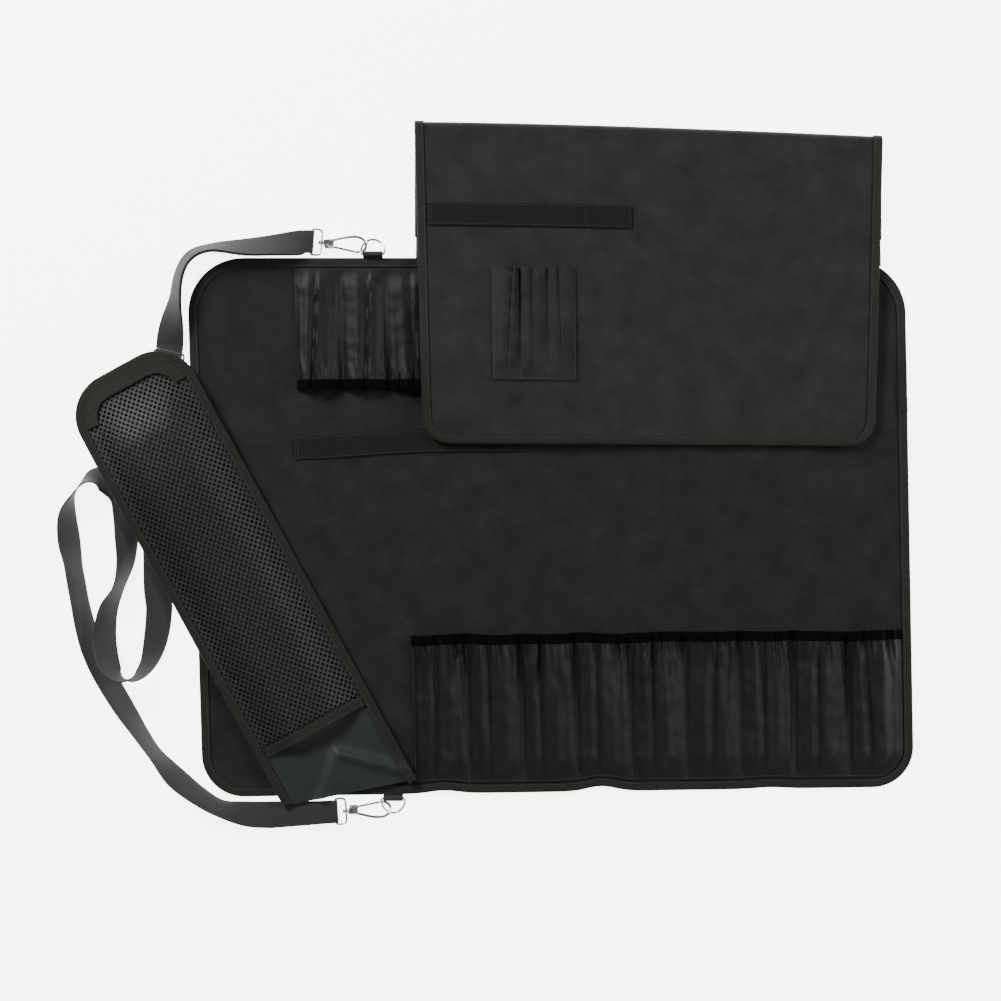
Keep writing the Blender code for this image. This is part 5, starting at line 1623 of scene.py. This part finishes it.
STRAP_ROUTE = (
    (-0.353, +0.527, +20, 0.00), (-0.388, +0.522, +38, 0.00), (-0.427, +0.518, +50, 0.00),
    (-0.475, +0.517, +70, 0.00), (-0.505, +0.502, +66, 0.00), (-0.520, +0.468, +66, 0.00),
    (-0.526, +0.417, +58, 0.00), (-0.533, +0.360, +14, 0.00), (-0.535, +0.336, +0, 0.00),
    (-0.5375, +0.308, +0, 0.00), (-0.552, +0.237, +0, 0.00), (-0.555, +0.144, +0, 0.00),
    (-0.556, +0.032, +0, 0.00), (-0.553, -0.051, -8, 0.00), (-0.552, -0.112, -20, 0.00),
    (-0.549, -0.151, -22, 0.00), (-0.553, -0.205, -36, 0.02), (-0.563, -0.250, -60, 0.10),
    (-0.578, -0.274, -74, 0.22), (-0.594, -0.279, -92, 0.36), (-0.609, -0.266, -118, 0.46),
    (-0.619, -0.237, -136, 0.36), (-0.623, -0.194, -136, 0.14), (-0.618, -0.149, -124, 0.02),
    (-0.604, -0.110, -106, 0.00), (-0.595, -0.064, -122, 0.00), (-0.594, -0.021, -140, 0.00),
    (-0.595, +0.023, -163, 0.00), (-0.602, +0.064, -168, 0.00), (-0.628, +0.090, -149, 0.00),
    (-0.650, +0.088, -107, 0.00), (-0.668, +0.060, -92, 0.00), (-0.676, +0.023, -60, 0.00),
    (-0.674, -0.023, -45, 0.00), (-0.668, -0.066, -58, 0.00), (-0.664, -0.097, -58, 0.00),
    (-0.658, -0.140, -58, 0.00), (-0.651, -0.183, -52, 0.00), (-0.641, -0.227, -48, 0.00),
    (-0.624, -0.274, -45, 0.00), (-0.598, -0.331, -50, 0.00), (-0.574, -0.379, -64, 0.00),
    (-0.552, -0.420, -68, 0.00), (-0.524, -0.463, -48, 0.00), (-0.489, -0.499, -56, 0.00),
    (-0.459, -0.520, -58, 0.00), (-0.424, -0.530, -28, 0.00), (-0.392, -0.532, -14, 0.00),
)

Frame = tuple[Vector, Vector]


@dataclass
class Strap:
    """The webbing strap, doubled from its slider round the top eye, and the wire slider."""

    panel: MainPanel
    top: StrapEnd
    bottom: StrapEnd
    end_width: float = 0.0226
    tuck: float = 0.026
    slider_row: int = 9
    steps: int = 7
    slider_width: float = 0.0325
    slider_length: float = 0.020
    slider_corner: float = 0.003

    def _rows(self, layers: float) -> list[tuple[float, float, float, float]]:
        """Middle of the strap along its way, with the turn of its cloth in degrees."""
        rows = []
        for number, (across, up, turn, lift) in enumerate(STRAP_ROUTE):
            angle = math.radians(turn)
            doubled = layers if number <= self.slider_row else 0.0
            height = abs(math.sin(angle)) * STRAP_WIDTH / 2
            height += abs(math.cos(angle)) * (STRAP_CLOTH / 2 + doubled) + STRAP_CLOTH / 3
            middle = (across * self.panel.width, up * self.panel.height, height + lift * STRAP_WIDTH)
            rows.append((*middle, turn))
        return rows

    def _frames(self, offset: float, first: int, last: int) -> list[Frame]:
        """Frames between two rows of the route, set off along the strap's own face."""
        rows = catmull(self._rows((STRAP_CLOTH + GAP) / 2)[first:last + 1], self.steps)
        frames = []
        for number, (x, y, z, turn) in enumerate(rows):
            before = Vector(rows[max(number - 1, 0)][:3])
            after = Vector(rows[min(number + 1, len(rows) - 1)][:3])
            way = (after - before).normalized()
            left = Vector((-way.y, way.x, 0.0)).normalized()
            raised = way.cross(left).normalized()
            if raised.z < 0:
                raised = -raised
            angle = math.radians(turn)
            half = left * math.cos(angle) + raised * math.sin(angle)
            face = raised * math.cos(angle) - left * math.sin(angle)
            frames.append((Vector((x, y, z)) + face * offset, half * STRAP_WIDTH / 2))
        return frames

    def _slider_place(self) -> tuple[Vector, Vector, Vector]:
        """The slider's middle, the strap's way there and the direction to its left."""
        rows = self._rows(0.0)
        middle = Vector(rows[self.slider_row][:3])
        middle.z = 2.25 * STRAP_CLOTH + 3 * GAP + WIRE / 2
        way = Vector(rows[self.slider_row + 1][:3]) - Vector(rows[self.slider_row - 1][:3])
        way.z = 0.0
        way.normalize()
        return middle, way, Vector((-way.y, way.x, 0.0))

    def _wrap(self, end: StrapEnd) -> tuple[list[Frame], Vector, Vector]:
        """Frames of the strap round an eye's bar, from below it to above."""
        _, place = end.places(self.panel)
        centre = place @ Vector((-end.eye_depth, 0.0, 0.0))
        back = (place.to_3x3() @ Vector((-1.0, 0.0, 0.0))).normalized()
        half = (place.to_3x3() @ Vector((0.0, 1.0, 0.0))).normalized() * self.end_width / 2
        radius = WIRE / 2 + GAP + STRAP_CLOTH / 2
        frames = [(centre + back * 2 * WIRE - Vector((0, 0, radius)), half)]
        for step in range(13):
            turn = math.radians(-90.0 + 15.0 * step)
            spot = centre - back * radius * math.cos(turn) + Vector((0, 0, radius * math.sin(turn)))
            frames.append((spot, half))
        frames.append((centre + back * 2 * WIRE + Vector((0, 0, radius)), half))
        return frames, centre, back

    def _all_frames(self) -> list[Frame]:
        """The whole strap's frames, from the slider's bar to the end under the bottom hook."""
        layer = (STRAP_CLOTH + GAP) / 2
        under = self._frames(-layer, 0, self.slider_row)[:-self.steps]
        over = self._frames(+layer, 0, self.slider_row)[:-self.steps]
        rest = self._frames(0.0, self.slider_row, len(STRAP_ROUTE) - 1)
        middle, way, left = self._slider_place()
        half = left * STRAP_WIDTH / 2
        radius = WIRE / 2 + GAP + STRAP_CLOTH / 2
        start = []
        for step in range(13):
            turn = math.radians(90.0 - 15.0 * step)
            spot = middle + way * radius * math.cos(turn) + Vector((0, 0, radius * math.sin(turn)))
            start.append((spot, half))
        low = STRAP_CLOTH / 2
        above = middle + Vector((0, 0, radius + STRAP_CLOTH + GAP))
        beyond = middle + way * self.slider_length / 2
        beyond.z = low
        wrap, _, _ = self._wrap(self.top)
        frames = start + list(reversed(under)) + [(spot, -side) for spot, side in wrap] + over
        frames += [(above - way * WIRE / 2, half), (above + way * WIRE, half), (beyond, half)]
        for spot, side in rest:
            if (spot - middle).dot(way) > 0.75 * self.slider_length or spot.y < middle.y - self.slider_length:
                frames.append((spot, side))
        final, centre, back = self._wrap(self.bottom)
        frames += list(reversed(final))
        side = final[0][1]
        for share in (0.25, 0.5, 0.65, 0.8, 1.0):
            spot = centre + back * self.tuck * share
            spot.z = low + (centre.z - radius - low) * (1.0 - smooth(share / 0.8))
            frames.append((spot, side))
        return frames

    def _web(self, frames: list[Frame]) -> tuple[bpy.types.Mesh, float]:
        """The webbing's mesh and its length."""
        spots = [spot for spot, _ in frames]
        thick = STRAP_CLOTH / 2
        section = (
            (-0.985, -thick), (-0.5, -thick), (0.0, -thick), (0.5, -thick), (0.985, -thick),
            (1.0, 0.0), (0.985, thick), (0.90, thick * 0.82), (0.84, thick), (0.42, thick), (0.0, thick),
            (-0.42, thick), (-0.84, thick), (-0.90, thick * 0.82), (-0.985, thick), (-1.0, 0.0),
        )
        rings = []
        lengths = run_lengths(spots)
        for number, (spot, half) in enumerate(frames):
            before = spots[max(number - 1, 0)]
            after = spots[min(number + 1, len(spots) - 1)]
            normal = (after - before).cross(half).normalized()
            rings.append([spot + half * share + normal * up for share, up in section])
        across = [share * STRAP_WIDTH / 2 for share, _ in section]
        return sweep("strap_web", rings, False, lengths, across), lengths[-1]

    def _slider(self) -> bpy.types.Mesh:
        """The wire slider: a rounded frame with a bar across its middle."""
        middle, way, left = self._slider_place()
        across = self.slider_width / 2 - WIRE / 2
        along = self.slider_length / 2
        path = round_rectangle((-along, -across), (along, across), self.slider_corner, 9)
        turn = Matrix((way, left, Vector((0, 0, 1)))).transposed().to_4x4()
        place = Matrix.Translation(middle) @ turn
        frame_wire = tube("slider_frame", path, WIRE / 2, True, place)
        steps = [(0.0, across * (2.0 * step / 8 - 1.0)) for step in range(9)]
        bar = tube("slider_bar", steps, WIRE / 2, False, place)
        return joined("slider_shape", [frame_wire, bar])

    def build(self) -> None:
        """Make the webbing and the slider."""
        mesh, length = self._web(self._all_frames())
        piece = finish_piece(mesh, "strap_webbing", STRAP_FINISH, ["shoulder_strap"])
        finish_piece(self._slider(), "slider", NICKEL, ["strap_slider"])
        LOG.info("strap of %.3f m and its slider made", length)


# The studio

@dataclass
class Studio:
    """Pale floor, soft lights from all sides and the camera straight above."""

    centre: tuple[float, float] = (-0.0515, 0.0270)
    height: float = 2.5
    view: float = 1.001
    sensor: float = 36.0
    floor: float = 8.0
    floor_level: float = -0.0004
    world: float = 0.22
    lights: tuple[tuple[str, Spot, float, float], ...] = (
        ("key", (-1.5, 1.5, 1.5), 0.8, 98.0), ("fill", (1.9, 0.4, 1.3), 1.0, 44.0),
        ("front", (0.2, -1.9, 1.7), 1.4, 10.0),
    )

    def _floor(self) -> None:
        """The pale floor just under the roll."""
        half = self.floor / 2
        mesh = bpy.data.meshes.new("floor")
        corners = ((-half, -half), (half, -half), (half, half), (-half, half))
        mesh.from_pydata([(x, y, self.floor_level) for x, y in corners], [], [(0, 1, 2, 3)])
        made = bpy.data.materials.new("pale floor")
        made.use_nodes = True
        feed(made.node_tree, made.node_tree.nodes["Principled BSDF"], {
            "Base Color": (0.92, 0.92, 0.92, 1.0), "Roughness": 0.95, "Specular IOR Level": 0.1,
            "Emission Color": (1.0, 1.0, 1.0, 1.0), "Emission Strength": 5.5,
        })
        mesh.materials.append(made)
        floor = bpy.data.objects.new("floor", mesh)
        bpy.context.scene.collection.objects.link(floor)

    def _light(self, name: str, spot: Spot, size: float, power: float) -> None:
        """One square soft light, aimed at the roll."""
        lamp = bpy.data.lights.new(name, "AREA")
        lamp.shape = "SQUARE"
        lamp.size = size
        lamp.energy = power
        light = bpy.data.objects.new(name, lamp)
        light.location = spot
        aim = Vector((*self.centre, 0.0)) - Vector(spot)
        light.rotation_euler = aim.to_track_quat("-Z", "Y").to_euler()
        bpy.context.scene.collection.objects.link(light)

    def build(self) -> None:
        """Make the floor, the lights, the world and the camera."""
        self._floor()
        for row in self.lights:
            self._light(*row)
        world = bpy.data.worlds.new("studio")
        world.use_nodes = True
        feed(world.node_tree, world.node_tree.nodes["Background"], {
            "Color": (1.0, 1.0, 1.0, 1.0), "Strength": self.world,
        })
        bpy.context.scene.world = world
        lens = bpy.data.cameras.new("camera")
        lens.sensor_width = self.sensor
        lens.lens = self.sensor * self.height / self.view
        camera = bpy.data.objects.new("camera", lens)
        camera.location = (*self.centre, self.height)
        bpy.context.scene.collection.objects.link(camera)
        bpy.context.scene.camera = camera
        LOG.info("studio made")


# Putting the roll together

POCKETS = 9
POCKET_WIDTH = 0.0545
SMALL_POCKETS = 5
SMALL_WIDTH = 0.0455
SMALL_LEFT = 0.1065
PLEATS = (
    (0.48, 0.38, 1.00), (0.41, 0.41, 0.92), (0.36, 0.36, 1.00), (0.40, 0.40, 0.95),
    (0.42, 0.42, 1.00), (0.60, 0.48, 0.90), (0.45, 0.45, 1.00), (0.46, 0.46, 0.96),
    (0.30, 0.45, 1.00),
)
SMALL_PLEATS = (
    (0.36, 0.50, 1.00), (0.52, 0.64, 0.95), (0.61, 0.55, 0.72), (0.46, 0.46, 0.54),
    (0.46, 0.46, 0.54),
)
CUTLERY_PLEATS = ((0.80, 0.50, 1.00), (0.46, 0.46, 0.95), (0.40, 0.50, 0.90))


def build_pockets(panel: MainPanel, flap: Flap, sewing: Sewing) -> None:
    """Make the three strips of pockets.

    Args:
        panel: the panel that two of them are sewn to.
        flap: the flap that the third is sewn to.
        sewing: where the seams are remembered.
    """
    rim = BINDING_WIDTH + HEM_GAP
    hem = -panel.height / 2 + BINDING_WIDTH + HEM_GAP

    def corner_limit(y: float) -> float:
        """How far right a strip may reach at a flat height, inside the round corner."""
        return round_half(panel.width, panel.bottom_radius, panel.bottom_radius - panel.height / 2 - y, rim)

    right = panel.width / 2 - rim
    PocketStrip(
        name="knife_pockets", node="pocket_strip", count=POCKETS, width=POCKET_WIDTH, depth=0.150,
        height=0.012, pleats=PLEATS, corner=(right - POCKETS * POCKET_WIDTH, hem), down=1,
        place=panel.place, level=PANEL_CLOTH, finish=POCKET_FINISH, seed=1.3, limit=corner_limit,
        elastic_node="pocket_elastic",
    ).build(sewing)
    PocketStrip(
        name="small_pockets", node="small_pocket_strip", count=SMALL_POCKETS, width=SMALL_WIDTH,
        depth=0.122, height=0.012, pleats=SMALL_PLEATS, corner=(SMALL_LEFT - panel.width / 2, -hem),
        down=-1, place=panel.place, level=PANEL_CLOTH, finish=POCKET_FINISH, seed=6.1,
        elastic_node="small_pocket_elastic",
    ).build(sewing)
    PocketStrip(
        name="cutlery_pockets", node="cutlery_pocket", count=3, width=0.0285, depth=0.112,
        height=0.0092, pleats=CUTLERY_PLEATS, corner=(-flap.width / 2 + 0.0735, flap.total() - 0.064),
        down=-1, place=flap.place, level=LIGHT_CLOTH + HOLDER_GAP - GAP, finish=FLAP_FINISH, seed=9.4,
        gather=0.0007, fold=0.0013, bow=0.0,
    ).build(sewing)


def build_bands(panel: MainPanel, flap: Flap, sewing: Sewing) -> None:
    """Make the elastic bands on the panel and on the flap."""
    Band(
        name="blade_elastic", node="blade_band", left=SMALL_LEFT - panel.width / 2 - ELASTIC_WIDTH / 2,
        length=SMALL_POCKETS * SMALL_WIDTH + ELASTIC_WIDTH / 2, middle=panel.height / 2 - 0.184,
        width=0.0225, place=panel.place, level=PANEL_CLOTH + GAP, droop=0.30,
    ).build(sewing)
    Band(
        name="cutlery_elastic", node="cutlery_band", left=-flap.width / 2 + BINDING_WIDTH + HEM_GAP,
        length=0.206, middle=flap.total() - 0.229, width=0.0225, place=flap.place,
        level=LIGHT_CLOTH + HOLDER_GAP,
    ).build(sewing)


def main() -> None:
    """Build the whole roll and the studio round it."""
    logging.basicConfig(level=logging.INFO, format="%(name)s: %(message)s")
    sewing = Sewing()
    panel = MainPanel()
    panel.build(sewing)
    flap = Flap(panel)
    flap.build(sewing)
    build_pockets(panel, flap, sewing)
    build_bands(panel, flap, sewing)
    Pouch(panel).build(sewing)
    top = StrapEnd("top", 1, -0.2404, 0.0035, (-0.0508, 0.0115), -4.2, Body.TOP_HOOK, Body.TOP_GATE)
    bottom = StrapEnd(
        "bottom", -1, -0.2323, 0.0034, (-0.0470, 0.0128), -3.6, Body.BOTTOM_HOOK, Body.BOTTOM_GATE,
    )
    top.build(panel)
    bottom.build(panel)
    Strap(panel, top, bottom).build()
    sewing.make("stitches")
    LOG.info("stitches made")
    Studio().build()


if __name__ == "__main__":
    main()
